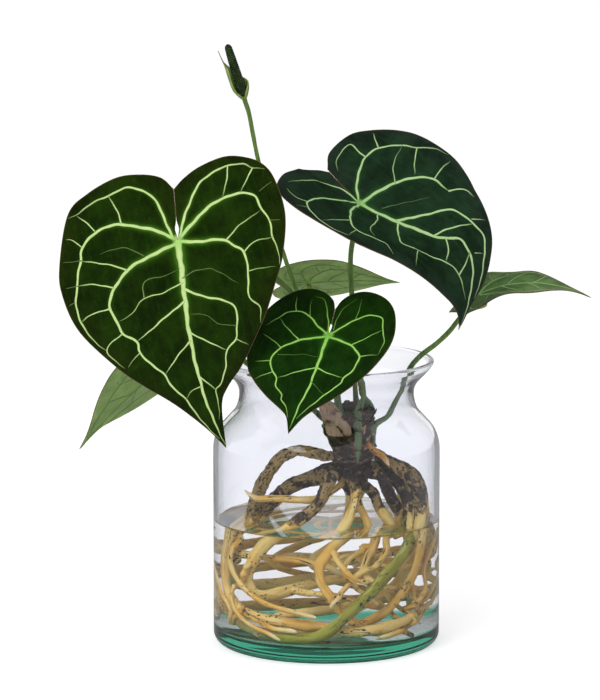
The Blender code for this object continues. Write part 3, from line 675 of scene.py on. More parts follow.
class Leaf:
    """A heart-shaped blade, laid out flat about its stalk's joint and then bent into place.

    base and tip are the joint and the point of the blade in millimetres, and face is the way
    its upper side looks. left and right are the outlines of its halves, and slit is how far,
    in degrees, the slit at the joint lies to the right of straight back. bend is the turn of
    the midrib in degrees, from bend_start of its length on. folds raise each half about the
    midrib, droop lowers the margins, waves holds the height and the number of the ripples
    round the margin, and notch is half the width of the hole at the joint.
    """

    def __init__(self, base, tip, face, left, right, slit, bend, bend_start=0.0,
                 folds=(6.0, 6.0), droop=0.0015, waves=(0.0, 0.0), notch=0.4):
        self.base = np.array(base, dtype=float)
        self.left = left
        self.right = right
        self.slit = slit
        self.folds = np.radians(folds)
        self.droop = droop
        self.waves = waves
        self.notch = notch
        self.bend = math.radians(bend)
        self.bend_start = bend_start
        chord = np.array(tip, dtype=float) - self.base
        run, fall = self.midrib(np.array([1.0]), 1.0)
        self.length = np.linalg.norm(chord) / math.hypot(run[0], fall[0])
        chord = unit(chord)
        face = unit(np.array(face) - chord * np.dot(face, chord))
        turn = math.atan2(-fall[0], run[0])
        self.forward = chord * math.cos(turn) + face * math.sin(turn)
        self.up = face * math.cos(turn) - chord * math.sin(turn)
        self.side = np.cross(self.up, self.forward)
        self.border = self.outline(240)

    def midrib(self, along, length):
        """Run and fall of the midrib at distances along it: straight, then an even bend."""
        straight = self.bend_start * length
        radius = (length - straight) / self.bend
        angle = np.maximum(along - straight, 0.0) / radius
        run = np.minimum(along, straight) + radius * np.sin(angle)
        return run, -radius * (1.0 - np.cos(angle))

    def place(self, across, along):
        """Points of the middle surface, in millimetres. Across is + to the blade's right."""
        run, fall = self.midrib(along, self.length)
        angle = self.bend * np.clip((along / self.length - self.bend_start)
                                    / (1.0 - self.bend_start), 0.0, 1.0)
        up = self.up * np.cos(angle)[..., None] + self.forward * np.sin(angle)[..., None]
        fold = np.where(across > 0.0, self.folds[1], self.folds[0])
        fold = fold * (1.0 - 0.85 * np.clip(along / self.length, 0.0, 1.0) ** 1.5)
        near_midrib = np.minimum(1.0, np.abs(across) / (0.08 * self.length))
        lift = np.abs(across) * np.sin(fold) * near_midrib - self.droop * across ** 2
        size, count = self.waves
        lift += size * np.sin(count * np.arctan2(across, along)) * np.abs(across) / self.length
        return (self.base + self.forward * run[..., None] + self.up * fall[..., None]
                + self.side * (across * np.cos(fold))[..., None] + up * lift[..., None])

    def normal(self, across, along):
        """The upper side's unit normals at flat points."""
        step = 0.4
        over = self.place(across + step, along) - self.place(across - step, along)
        ahead = self.place(across, along + step) - self.place(across, along - step)
        normals = unit(np.cross(over, ahead))
        return normals * np.sign(normals @ self.up)[..., None]

    def slit_line(self):
        """The flat direction in which the slit runs from the joint."""
        slit = math.radians(self.slit)
        return np.array([math.sin(slit), -math.cos(slit)])

    def outline(self, lines):
        """Points of the flat outline, evenly spaced from the left lobe round the tip."""
        halves = []
        for side, table in ((-1.0, self.left), (1.0, self.right)):
            angles, reaches = np.array(table, dtype=float).T
            angles[-1] = 179.85 - side * self.slit
            headings = np.radians(angles)
            corners = np.stack([side * reaches * np.sin(headings), reaches * np.cos(headings)], 1)
            halves.append(even(spline(corners * self.length, 12), lines // 2 + 1))
        return np.vstack([halves[0][::-1], halves[1][1:]])

    def holds(self, points):
        """Whether flat points lie on the blade, clear of its margin."""
        clear = 1.2
        border = self.border * (1.0 - clear / self.length)
        ahead = np.roll(border, -1, axis=0)
        x, y = points.T[..., None]
        spans = (border[:, 1] > y) != (ahead[:, 1] > y)
        run, rise = (ahead - border).T
        rise = np.where(np.abs(rise) < 1e-9, 1e-9, rise)
        cross = border[:, 0] + (y - border[:, 1]) * run / rise
        return (spans & (x < cross)).sum(axis=1) % 2 == 1

    def grid(self, lines, rings):
        """Flat (across, along) of every grid point but the joint, as rings x lines x 2."""
        fractions = np.linspace(0.0, 1.0, rings + 1)[1:] ** 0.94
        points = fractions[:, None, None] * self.outline(lines)[None]
        slit = self.slit_line()
        reach = np.linalg.norm(points, axis=2)
        near_slit = ramp(points @ slit / reach, 0.8, 1.0)
        opening = self.notch * np.exp(-((reach - 7.0) / 4.0) ** 2) * near_slit
        half = np.sign(np.arange(points.shape[1]) - lines // 2)
        points += (opening * half)[..., None] * np.array([-slit[1], slit[0]])
        return points


# Outlines as (angle from the midrib, reach as a fraction of the midrib) for each half.
BROAD_LEFT = ((0, 1.0), (4, 0.9), (10, 0.81), (16, 0.753), (27, 0.697), (39, 0.66), (60, 0.63),
              (77, 0.6), (90, 0.567), (115, 0.529), (129, 0.477), (147, 0.412), (162, 0.354),
              (177, 0.302), (188, 0.238))
BROAD_RIGHT = ((0, 1.0), (2, 0.8), (6, 0.724), (14, 0.661), (25, 0.59), (38, 0.54), (54, 0.507),
               (69, 0.507), (90, 0.528), (108, 0.542), (118, 0.537), (127, 0.5), (137, 0.445),
               (150, 0.355), (162, 0.285), (172, 0.238))
FOLDED_LEFT = ((0, 1.0), (3, 0.84), (11, 0.71), (20, 0.62), (33, 0.55), (56, 0.51), (70, 0.51),
               (86, 0.532), (99, 0.548), (112, 0.55), (124, 0.52), (143, 0.45), (160, 0.4),
               (173, 0.38), (184, 0.33), (192, 0.27))
FOLDED_RIGHT = ((0, 1.0), (4, 0.89), (7, 0.855), (13, 0.81), (21, 0.75), (30, 0.7), (43, 0.635),
                (57, 0.6), (71, 0.572), (91, 0.53), (106, 0.5), (123, 0.466), (138, 0.44),
                (157, 0.37), (168, 0.29))
YOUNG_LEFT = ((0, 1.0), (4, 0.87), (9, 0.825), (22, 0.785), (36, 0.765), (49, 0.745), (75, 0.685),
              (103, 0.628), (125, 0.608), (140, 0.575), (152, 0.508), (163, 0.405), (168, 0.3))
YOUNG_RIGHT = ((0, 1.0), (5, 0.855), (12, 0.763), (25, 0.678), (42, 0.612), (61, 0.577),
               (83, 0.567), (102, 0.574), (120, 0.588), (135, 0.61), (149, 0.613), (164, 0.585),
               (177, 0.525), (186, 0.42), (192, 0.3))
HEART = ((0, 1.0), (4, 0.88), (11, 0.78), (20, 0.71), (38, 0.63), (60, 0.59), (90, 0.55),
         (112, 0.54), (127, 0.51), (142, 0.45), (160, 0.37), (176, 0.28))
DRIP = ((0, 1.0), (1.2, 0.9), (3.5, 0.815), (10, 0.765), (19, 0.725), (32, 0.68), (50, 0.62),
        (72, 0.58), (95, 0.55), (112, 0.54), (127, 0.51), (142, 0.45), (160, 0.37), (176, 0.28))
SLENDER = ((0, 1.0), (3, 0.84), (8, 0.73), (18, 0.62), (36, 0.53), (60, 0.47), (90, 0.42),
           (112, 0.4), (130, 0.36), (148, 0.3), (165, 0.25), (176, 0.2))

# Veins as (width at the start, width at the end, strength, points). The points are flat
# (across, along) places as fractions of the midrib, with the joint at (0, 0).
OLIVE_VEINS = (
    (5.0, 1.2, 1.0, ((0, 0), (-.02, .2), (-.043, .43), (-.046, .65), (-.034, .81), (0, .985))),
    (2.2, 1.0, .9, ((-.02, -.01), (-.06, -.19), (-.1, -.25), (-.18, -.288), (-.27, -.272),
                    (-.36, -.25), (-.43, -.22), (-.5, -.2))),
    (2.8, 1.1, 1.0, ((-.01, -.005), (-.1, -.067), (-.245, -.125), (-.355, -.12), (-.44, -.06),
                     (-.465, .0), (-.49, .06), (-.505, .115), (-.53, .18), (-.525, .275),
                     (-.495, .36), (-.44, .43))),
    (2.9, 1.0, 1.0, ((-.005, .015), (-.155, .05), (-.26, .09), (-.34, .16), (-.38, .24),
                     (-.36, .315), (-.345, .37), (-.29, .425), (-.29, .47), (-.24, .55),
                     (-.2, .6), (-.175, .665), (-.13, .735), (-.065, .88), (-.02, .95))),
    (2.3, .9, .9, ((.01, -.01), (.07, -.12), (.155, -.225), (.245, -.27), (.315, -.278),
                   (.385, -.272), (.425, -.245), (.48, -.225))),
    (2.9, 1.0, 1.0, ((.01, -.005), (.135, -.09), (.24, -.135), (.335, -.142), (.405, -.115),
                     (.425, -.042), (.447, .01), (.447, .09), (.455, .15), (.45, .22))),
    (2.7, .9, 1.0, ((.01, .01), (.115, .035), (.21, .048), (.26, .088), (.295, .13), (.298, .215),
                    (.272, .33), (.313, .383), (.3, .45), (.275, .53))),
    (1.8, .8, .95, ((-.022, .23), (.06, .285), (.15, .32), (.197, .372), (.187, .45),
                    (.165, .51), (.112, .55), (.09, .625), (.043, .7), (.018, .722), (.015, .786),
                    (0, .86))),
    (1.7, .9, .95, ((-.03, .285), (-.155, .35), (-.285, .417))),
    (1.3, .8, .9, ((-.045, .47), (-.14, .545), (-.195, .597))),
    (1.3, .8, .9, ((-.036, .438), (.04, .5), (.112, .55))),
    (1.0, .8, .8, ((-.043, .644), (.018, .722))),
    (.9, .7, .7, ((-.045, .69), (-.09, .7), (-.13, .735))),
    (.9, .7, .8, ((-.02, .2), (-.12, .225), (-.215, .235), (-.29, .29), (-.355, .312))),
    (.7, .5, .55, ((-.215, .235), (-.19, .155), (-.08, .15), (-.02, .13))),
    (.7, .5, .5, ((-.17, .04), (-.24, -.01), (-.31, -.02), (-.37, -.01))),
    (1.2, .9, .85, ((-.242, -.13), (-.25, -.2), (-.275, -.27))),
    (1.1, .8, .85, ((-.37, -.12), (-.4, -.17), (-.437, -.207))),
    (.9, .7, .8, ((-.445, -.06), (-.48, -.1), (-.525, -.114))),
    (1.2, .9, .85, ((-.262, .088), (-.35, .04), (-.465, .002))),
    (1.1, .9, .85, ((-.34, .155), (-.42, .12), (-.5, .11))),
    (1.1, .9, .85, ((-.38, .245), (-.46, .25), (-.525, .275))),
    (1.0, .8, .8, ((-.35, .37), (-.44, .43), (-.375, .53))),
    (.8, .6, .7, ((-.29, .475), (-.33, .5), (-.36, .53))),
    (1.1, .8, .8, ((.31, -.277), (.285, -.2), (.252, -.14))),
    (1.1, .8, .8, ((.425, -.245), (.38, -.19), (.34, -.145))),
    (1.0, .7, .75, ((.23, .052), (.31, .0), (.42, -.045))),
    (1.0, .8, .75, ((.297, .127), (.36, .09), (.447, .09))),
    (.8, .6, .65, ((.3, .217), (.36, .215), (.43, .225))),
    (.9, .6, .7, ((.166, .508), (.23, .557))),
    (.6, .5, .5, ((-.02, .18), (.05, .16), (.115, .163), (.15, .183), (.24, .262))),
    (.6, .5, .4, ((-.5, .11), (-.56, .11))),
    (.6, .5, .4, ((-.53, .18), (-.6, .2))),
    (.6, .5, .4, ((-.46, .0), (-.55, -.01))),
    (.6, .5, .4, ((.43, -.13), (.47, -.15), (.5, -.16))),
    (.6, .5, .4, ((.447, .01), (.5, .02))),
    (.6, .5, .4, ((.185, .45), (.1, .42), (.05, .37), (-.02, .35))),
)

SLATE_VEINS = (
    (3.4, 1.2, 1.0, ((0, 0), (.01, .1), (.04, .24), (.065, .36), (.085, .44), (.12, .49),
                     (.175, .535), (.18, .59), (.16, .66), (.11, .75), (.06, .84), (0, .975))),
    (2.2, 1.0, .9, ((.01, -.02), (.08, -.09), (.16, -.14), (.24, -.162), (.32, -.15), (.38, -.1),
                    (.42, -.05), (.46, .02), (.51, .09), (.535, .19))),
    (3.0, 1.7, 1.0, ((.01, 0), (.12, .03), (.21, .07), (.3, .125), (.355, .2), (.36, .27),
                     (.355, .32))),
    (1.6, .9, .85, ((.355, .32), (.42, .37), (.42, .44))),
    (2.4, 1.0, 1.0, ((.04, .22), (.1, .28), (.18, .335), (.26, .39), (.29, .45), (.3, .52),
                     (.3, .59), (.26, .65), (.2, .72), (.1, .84))),
    (1.5, .9, .9, ((.085, .44), (.19, .47), (.295, .52))),
    (1.8, .9, .85, ((0, -.02), (.01, -.14), (-.04, -.225), (-.15, -.27), (-.32, -.29))),
    (2.4, 1.0, 1.0, ((-.01, -.02), (-.15, -.065), (-.27, -.11), (-.39, -.1), (-.46, -.045),
                     (-.49, .05), (-.47, .15), (-.42, .21))),
    (2.4, 1.0, .95, ((-.01, 0), (-.15, .04), (-.265, .11), (-.315, .19), (-.27, .27), (-.23, .34),
                     (-.27, .42))),
    (1.2, .8, .8, ((0, .12), (-.07, .165), (-.2, .205), (-.24, .27))),
    (1.6, .9, .9, ((.03, .24), (-.05, .3), (-.115, .37), (-.07, .45), (-.02, .52), (.03, .585),
                   (.055, .68), (.04, .82))),
    (1.2, .9, .85, ((.12, .49), (.085, .54), (.03, .585))),
    (1.2, .8, .8, ((.055, .68), (.14, .635), (.185, .61))),
    (.7, .5, .5, ((.05, .11), (.14, .185), (.26, .27))),
    (1.1, .8, .8, ((.33, -.15), (.385, -.23))),
    (1.1, .8, .8, ((.455, .02), (.39, .06), (.315, .12))),
    (.9, .7, .7, ((.21, .07), (.265, .01), (.335, -.03), (.425, -.055))),
    (1.1, .8, .8, ((.365, .215), (.44, .205), (.51, .21))),
    (1.2, .8, .8, ((.24, -.162), (.245, -.23), (.25, -.285), (.17, -.29), (.12, -.27),
                   (.08, -.225))),
    (1.1, .8, .8, ((-.39, -.1), (-.43, -.16), (-.4, -.245))),
    (.8, .6, .6, ((-.45, -.06), (-.51, -.1))),
    (1.0, .8, .75, ((-.275, .11), (-.37, .085), (-.47, .06))),
    (.9, .7, .7, ((-.32, .19), (-.42, .21))),
    (.9, .7, .7, ((.31, .5), (.38, .55))),
    (.8, .6, .7, ((.2, .63), (.245, .655))),
    (.9, .7, .7, ((-.07, .45), (-.2, .52))),
)

YOUNG_VEINS = (
    (3.6, 1.1, 1.0, ((0, 0), (.015, .18), (.035, .36), (.038, .56), (.015, .76), (-.005, .975))),
    (2.0, .9, .9, ((-.01, 0), (-.12, -.06), (-.22, -.13), (-.3, -.16), (-.37, -.16), (-.44, -.12),
                   (-.49, -.03), (-.555, .07))),
    (2.4, .9, 1.0, ((-.01, .02), (-.11, .08), (-.21, .14), (-.34, .26), (-.375, .4), (-.325, .49),
                    (-.265, .55), (-.24, .62), (-.165, .68), (-.155, .73), (-.085, .79),
                    (-.045, .87))),
    (1.2, .7, .7, ((-.01, -.02), (-.12, -.26), (-.19, -.355), (-.28, -.37))),
    (2.0, .9, .9, ((.01, -.01), (.09, -.12), (.16, -.215), (.22, -.275), (.29, -.305),
                   (.385, -.285), (.44, -.17), (.5, -.04), (.51, .11))),
    (2.4, .9, 1.0, ((.01, .02), (.13, .045), (.24, .07), (.35, .16), (.365, .25), (.35, .34),
                    (.3, .41), (.29, .47), (.18, .63), (.085, .76), (.03, .86))),
    (1.3, .8, .85, ((.03, .36), (-.12, .45), (-.255, .54))),
    (1.3, .8, .85, ((.038, .36), (.18, .4), (.295, .405))),
    (.9, .7, .75, ((-.37, -.16), (-.4, -.23), (-.43, -.32))),
    (1.1, .8, .8, ((-.21, .14), (-.35, .06), (-.47, -.04))),
    (1.0, .7, .75, ((-.34, .255), (-.44, .2), (-.55, .16))),
    (1.0, .7, .75, ((-.378, .4), (-.44, .42), (-.51, .44))),
    (.9, .7, .7, ((-.32, .5), (-.39, .55), (-.45, .6))),
    (1.1, .8, .8, ((.24, .07), (.34, -.04), (.44, -.17))),
    (1.0, .7, .75, ((.355, .17), (.43, .14), (.51, .11))),
    (.8, .6, .6, ((.02, -.06), (-.005, -.2), (.01, -.33), (.08, -.46))),
    (.8, .6, .6, ((-.23, -.14), (-.27, -.23), (-.29, -.33))),
    (.8, .6, .6, ((.16, -.215), (.15, -.34), (.12, -.46))),
    (.7, .5, .5, ((.035, .5), (.1, .54), (.2, .6))),
    (.7, .5, .5, ((-.34, .33), (-.22, .3), (-.12, .27), (.02, .25))),
)

HEART_VEINS = (
    (3.0, 1.1, 1.0, ((0, 0), (.004, .3), (-.004, .65), (0, .985))),
    (1.8, .9, .85, ((-.01, -.01), (-.07, -.13), (-.15, -.22), (-.25, -.24), (-.35, -.21),
                    (-.43, -.15))),
    (2.2, .9, 1.0, ((-.01, 0), (-.12, -.03), (-.25, -.06), (-.36, -.03), (-.42, .06), (-.42, .16),
                    (-.39, .26), (-.33, .36))),
    (2.2, .9, 1.0, ((-.005, .01), (-.12, .06), (-.23, .14), (-.29, .24), (-.28, .34), (-.24, .44),
                    (-.19, .54), (-.13, .66), (-.08, .78), (-.03, .9))),
    (1.8, .9, .85, ((.01, -.01), (.07, -.13), (.15, -.22), (.25, -.24), (.35, -.2), (.43, -.14))),
    (2.2, .9, 1.0, ((.01, 0), (.12, -.03), (.25, -.055), (.35, -.02), (.41, .07), (.41, .17),
                    (.38, .27), (.32, .37))),
    (2.2, .9, 1.0, ((.005, .01), (.12, .06), (.22, .13), (.28, .23), (.28, .33), (.24, .43),
                    (.19, .54), (.13, .66), (.08, .78), (.03, .9))),
    (1.3, .8, .9, ((0, .22), (-.12, .3), (-.24, .42))),
    (1.3, .8, .9, ((0, .26), (.12, .33), (.24, .44))),
    (1.2, .8, .85, ((0, .44), (-.09, .52), (-.18, .58))),
    (1.2, .8, .85, ((0, .48), (.09, .55), (.17, .6))),
    (.9, .7, .7, ((-.25, -.06), (-.27, -.15), (-.3, -.23))),
    (.9, .7, .7, ((.25, -.055), (.27, -.15), (.3, -.23))),
    (.9, .7, .7, ((-.23, .14), (-.33, .1), (-.42, .1))),
    (.9, .7, .7, ((.22, .13), (.32, .1), (.41, .1))),
    (.9, .7, .7, ((-.29, .25), (-.35, .24), (-.4, .24))),
    (.9, .7, .7, ((.28, .25), (.34, .24), (.39, .24))),
    (.8, .6, .6, ((-.24, .44), (-.31, .42))),
    (.8, .6, .6, ((.24, .44), (.31, .42))),
)


BLADES = {
    "leaf_front_left": ("leaf_olive", "olive", OLIVE_VEINS, 1.12,
                        Leaf((-96, -58, 277), (-65, -72, 143.5), (-0.1, -1.0, 0.22), BROAD_LEFT,
                             BROAD_RIGHT, 8, 14, folds=(8, 10), droop=0.0008, waves=(3.0, 3),
                             notch=1.3)),
    "leaf_right": ("leaf_slate_green", "slate", SLATE_VEINS, 1.1,
                   Leaf((22, -6, 294), (86, -24, 213), (0.25, -0.62, 0.75), FOLDED_LEFT,
                        FOLDED_RIGHT, 12, 95, bend_start=0.42, folds=(24, 24), droop=0.0005)),
    "leaf_front_small": ("leaf_young_green", "young", YOUNG_VEINS, 0.95,
                         Leaf((1, -58, 215), (-25, -98, 157.5), (-0.28, -0.86, 0.42), YOUNG_LEFT,
                              YOUNG_RIGHT, -12, 28, notch=0.8)),
    "leaf_back_left": ("leaf_underside", "back", HEART_VEINS, 0.8,
                       Leaf((-92, 30, 191), (-166, 46, 121), (-0.63, 0.42, 0.64), DRIP, HEART,
                            0, 20, folds=(8, 8), droop=0.0012)),
    "leaf_back": ("leaf_underside", "back", HEART_VEINS, 0.7,
                  Leaf((-13, 74, 230), (50, 76, 230), (0.0, 0.5, 0.87), HEART, HEART, 0, 14,
                       droop=0.001)),
    "leaf_back_right": ("leaf_mid_green", "back", HEART_VEINS, 0.8,
                        Leaf((101, 34, 228), (176, 26, 227), (0.1, -0.18, 1.0), SLENDER, SLENDER,
                             0, 54, folds=(4, 4), droop=0.0006, waves=(5.0, 5))),
}


def vein_fields(points, leaf, veins, scale):
    """The green beside the veins and the depth of their grooves, at flat points."""
    glow = np.zeros(len(points))
    groove = np.zeros(len(points))
    reach = 9.0                         # no vein colours the blade farther than this
    for seed, (start, end, strength, way) in enumerate(veins):
        line, _ = vein_line(leaf, way, seed)
        near = np.flatnonzero(np.all((points > line.min(0) - reach)
                                     & (points < line.max(0) + reach), axis=1))
        spots = points[near]
        corner = line[:-1]
        span = line[1:] - corner
        squared = np.maximum((span ** 2).sum(1), 1e-9)
        t = np.clip(((spots[:, None] - corner) * span).sum(2) / squared, 0.0, 1.0)
        distances = np.linalg.norm(spots[:, None] - corner - span * t[..., None], axis=2)
        nearest = distances.argmin(1)
        rows = np.arange(len(spots))
        distance = distances[rows, nearest]
        along = (nearest + t[rows, nearest]) / len(corner)
        half = 0.5 * scale * (start + (end - start) * along)
        fade = np.maximum(distance - half, 0.0) / (0.45 + 1.15 * half * (1.3 - along))
        beside = strength * (1.0 - 0.38 * along ** 2) * np.exp(-fade)
        glow[near] = np.maximum(glow[near], beside)
        groove[near] = np.maximum(groove[near], half * np.exp(-(distance / (1.6 * half)) ** 2))
    return glow, groove


def set_flat_map(obj, flat, length):
    """The flat places of an object's points as its map, with the joint in the middle."""
    layer = obj.data.uv_layers.new(name="flat")
    corners = np.empty(len(obj.data.loops), dtype=np.int32)
    obj.data.loops.foreach_get("vertex_index", corners)
    layer.data.foreach_set("uv", (flat[corners] / length + 0.5).ravel())
    return corners


def make_blade(node, leaf, veins, vein_scale, lines, rings, thickness):
    """A closed blade, with its veins sunk in the upper side and proud on the lower one."""
    lines -= lines % 2
    grid = leaf.grid(lines, rings)
    columns = grid.shape[1]
    flat = np.vstack([[[0.0, 0.0]], grid.reshape(-1, 2)])
    glow, groove = vein_fields(flat, leaf, veins, vein_scale)
    to_rim = np.linalg.norm(grid[-1] - grid, axis=2)
    slit = leaf.slit_line()
    beside_slit = np.where(grid @ slit > 0.0, np.abs(np.cross(grid, slit)), 99.0)
    to_edge = np.append([20.0], np.minimum(to_rim, beside_slit).ravel())
    middle = leaf.place(flat[:, 0], flat[:, 1]) * MM
    normals = leaf.normal(flat[:, 0], flat[:, 1])
    to_joint = np.linalg.norm(flat, axis=1)
    half = 0.5 * thickness * (1.0 - 0.55 * np.exp(-to_edge / 1.2))
    swell = 1.4 * MM * np.exp(-(to_joint / 3.0) ** 2)
    quilt = 0.3 * MM * np.clip(groove, 0.0, 1.6) * ramp(to_edge, 0.0, 5.0)
    upper = middle + normals * (half - 0.7 * quilt)[:, None]
    lower = middle - normals * (half + 0.7 * quilt + swell)[:, None]

    count = len(middle)
    index = 1 + np.arange(rings * columns).reshape(rings, columns)
    quads = grid_faces(index)
    fan = np.stack([np.zeros(columns - 1, int), index[0, 1:], index[0, :-1]], 1)
    border = np.concatenate([[0], index[:, 0], index[-1, 1:-1], index[:, -1][::-1]])
    ahead = np.roll(border, -1)
    rim = np.stack([border, ahead, ahead + count, border + count], 1)
    faces = quads.tolist() + (quads[:, ::-1] + count).tolist()
    faces += fan[:, ::-1].tolist() + (fan + count).tolist()
    faces += rim.tolist()
    blade = new_piece(node + "_blade", np.vstack([upper, lower]), faces)
    face_outward(blade)
    for name, values in (("glow", glow), ("edge", to_edge), ("joint", to_joint)):
        add_attribute(blade, name, np.tile(values, 2))
    corners = set_flat_map(blade, np.tile(flat, (2, 1)), leaf.length)
    corner = np.empty(len(blade.data.polygons), dtype=np.int32)
    blade.data.polygons.foreach_get("loop_start", corner)
    blade.data.polygons.foreach_set("material_index", (corners[corner] >= count).astype(np.int32))
    smooth_shading(blade)
    return blade


# A vein's section as (share of its half width, share of its height) going round it.
VEIN_SECTION = ((-1.0, -0.35), (-0.62, 0.66), (0.0, 1.0), (0.62, 0.66), (1.0, -0.35), (0.0, -1.6))


def vein_line(leaf, way, seed):
    """A vein's flat line, wandering a little and ending short of the margin."""
    line = fine_line(np.array(way) * leaf.length, 1.4, least=6)
    along = along_line(line)
    ahead = unit(np.gradient(line, axis=0))
    wander = 0.16 * np.sin(along / 1.7 + 5.0 * seed) + 0.22 * np.sin(along / 3.9 + 2.0 * seed)
    wander *= ramp(along, 0.0, 9.0) * ramp(along[-1] - along, 0.0, 5.0)
    beside = np.stack([-ahead[:, 1], ahead[:, 0]], 1)
    line = line + beside * wander[:, None]
    off = np.flatnonzero(~leaf.holds(line[2:]))
    if len(off):
        line = line[:max(4, off[0] + 2)]
        beside = beside[:len(line)]
    return line, beside


def make_veins(name, leaf, veins, scale, surface, proud, side):
    """Closed flattened strands along the veins of one side: + 1 is the upper, - 1 the lower."""
    verts, faces, across, strengths, flats = [], [], [], [], []
    shares, heights = np.array(VEIN_SECTION).T
    sides = len(shares)
    for seed, (start, end, strength, way) in enumerate(veins):
        line, beside = vein_line(leaf, way, seed)
        along = along_line(line)
        t = along / along[-1]
        half = 0.5 * scale * (start + (end - start) * t ** 0.65)
        half *= 1.0 + 0.10 * np.sin(along / 1.3 + 9.0 * seed) + 0.09 * np.sin(along / 3.1 + seed)
        half *= np.minimum(1.0, 0.3 + 5.0 * (1.0 - t))
        flat = line[:, None] + beside[:, None] * (half[:, None] * shares)[..., None]
        ring = flat.reshape(-1, 2)
        level = surface - side * 0.21 * np.minimum(half, 1.6)
        lift = level[:, None] + proud * (0.7 + 0.25 * half[:, None]) * heights
        points = leaf.place(ring[:, 0], ring[:, 1])
        points += side * leaf.normal(ring[:, 0], ring[:, 1]) * lift.reshape(-1, 1)
        first = sum(len(batch) for batch in verts)
        index = first + np.arange(len(line) * sides).reshape(len(line), sides)
        faces += tube_faces(index)
        verts.append(points * MM)
        across.append(np.tile(np.abs(shares), len(line)))
        strengths.append(np.repeat(strength * (1.0 - 0.38 * t ** 2), sides))
        flats.append(ring)
    strands = new_piece(name, np.vstack(verts), faces)
    face_outward(strands)
    flat = np.vstack(flats)
    add_attribute(strands, "across", np.concatenate(across))
    add_attribute(strands, "strength", np.concatenate(strengths))
    add_attribute(strands, "joint", np.linalg.norm(flat, axis=1))
    set_flat_map(strands, flat, leaf.length)
    smooth_shading(strands)
    return strands


def upper_look(name, ground, glow, core, size, settings):
    """The velvety upper side: dark ground, bright green beside the veins and a thin rim."""
    look = Look(name, 0.5, 0.08)
    where = look.place()
    mottle = look.noise(where, 55.0, 5.0, 0.65)
    streaks = look.noise(look.flat((40.0, 9.0, 1.0)), 1.0, 4.0, 0.6)
    inner = look.blend(look.band(look.attribute("edge"), 3.0, 16.0),
                       toned(ground, 1.25, 0.85, 1.3), ground)
    shade = look.blend(look.band(mottle, 0.3, 0.72), (0.62, 0.62, 0.62), (1.5, 1.5, 1.5))
    base = look.blend(1.0, inner, shade, "MULTIPLY")
    base = look.blend(look.band(streaks, 0.42, 0.78, 0.0, 0.3), base,
                      toned(ground, 2.0, 2.6, 2.0))
    cells = look.edges(21.0)
    fine = look.edges(58.0)
    net = look.math("MULTIPLY", look.band(cells, 0.0, 0.03, 0.13, 0.0),
                    look.band(streaks, 0.38, 0.62))
    net = look.math("MAXIMUM", net, look.band(fine, 0.0, 0.03, 0.05, 0.0))
    base = look.blend(net, base, glow)
    far = look.band(look.attribute("joint"), 0.08 * size, 0.6 * size, 1.0, 0.42)
    beside = look.math("MINIMUM", look.math("MULTIPLY", look.attribute("glow"), far), 1.0)
    base = look.blend(look.math("POWER", beside, 2.6), base, glow)
    hub = look.band(look.attribute("joint"), 1.5, 4.5, 0.85, 0.0)
    base = look.blend(hub, base, toned(core, 0.75))
    edge = look.math("MULTIPLY", look.band(look.attribute("edge"), 0.12, 0.6, 1.0, 0.0),
                     look.band(look.attribute("joint"), 3.0, 9.0))
    look.paint(look.blend(edge, base, settings.margin))
    look.gloss(look.band(mottle, 0.2, 0.8, 0.42, 0.60))
    grain = look.math("ADD", look.noise(where, 1100.0, 2.0), look.math("MULTIPLY", cells, 1.6))
    look.bump(grain, 0.1 * MM, 0.5)
    return look.material


def vein_look(name, core, glow):
    """A vein: pale along its middle and far from the joint, green at its edges and its start."""
    look = Look(name, 0.45, 0.3)
    fresh = toned(core, 0.66, 0.90, 0.55)
    pale = look.blend(look.band(look.attribute("joint"), 1.0, 12.0), fresh, core)
    blotch = look.noise(look.place(), 260.0, 3.0)
    pale = look.blend(look.band(blotch, 0.35, 0.75, 0.0, 0.35), pale, fresh)
    tint = look.blend(look.band(look.attribute("strength"), 0.42, 0.82),
                      mixed(core, glow, 0.11, 0.55), pale)
    edge = look.band(look.attribute("across"), 0.35, 1.0, 0.0, 0.85)
    look.paint(look.blend(edge, tint, mixed(core, glow, 0.27, 0.7)))
    look.bump(look.noise(look.place(), 1300.0, 2.0), 0.05 * MM, 0.5)
    return look.material


def under_look(name, settings):
    """The matt, paler lower side."""
    look = Look(name, 0.6, 0.3)
    where = look.place()
    mottle = look.noise(where, 70.0, 4.0, 0.6)
    base = look.blend(look.band(mottle, 0.3, 0.7), toned(settings.underside, 0.82),
                      toned(settings.underside, 1.15))
    cells = look.edges(26.0)
    base = look.blend(look.band(cells, 0.0, 0.04, 0.35, 0.0), base, settings.under_vein)
    beside = look.math("MULTIPLY", look.attribute("glow"), 0.35)
    base = look.blend(beside, base, settings.under_vein)
    edge = look.band(look.attribute("edge"), 0.12, 0.7, 1.0, 0.0)
    look.paint(look.blend(edge, base, settings.margin))
    look.fix("Subsurface Weight", 0.7)
    look.fix("Subsurface Radius", (1.0, 1.0, 0.5))
    look.fix("Subsurface Scale", 1.6 * MM)
    look.bump(look.math("ADD", look.noise(where, 900.0, 2.0), cells), 0.1 * MM, 0.5)
    return look.material


# A blade at least this long, in millimetres, gets the full grid, and a smaller one a coarser grid.
FULL_GRID = 130.0
# How many of a blade's veins, counted from the first, also stand out of its underside.
UNDER_VEINS = 19


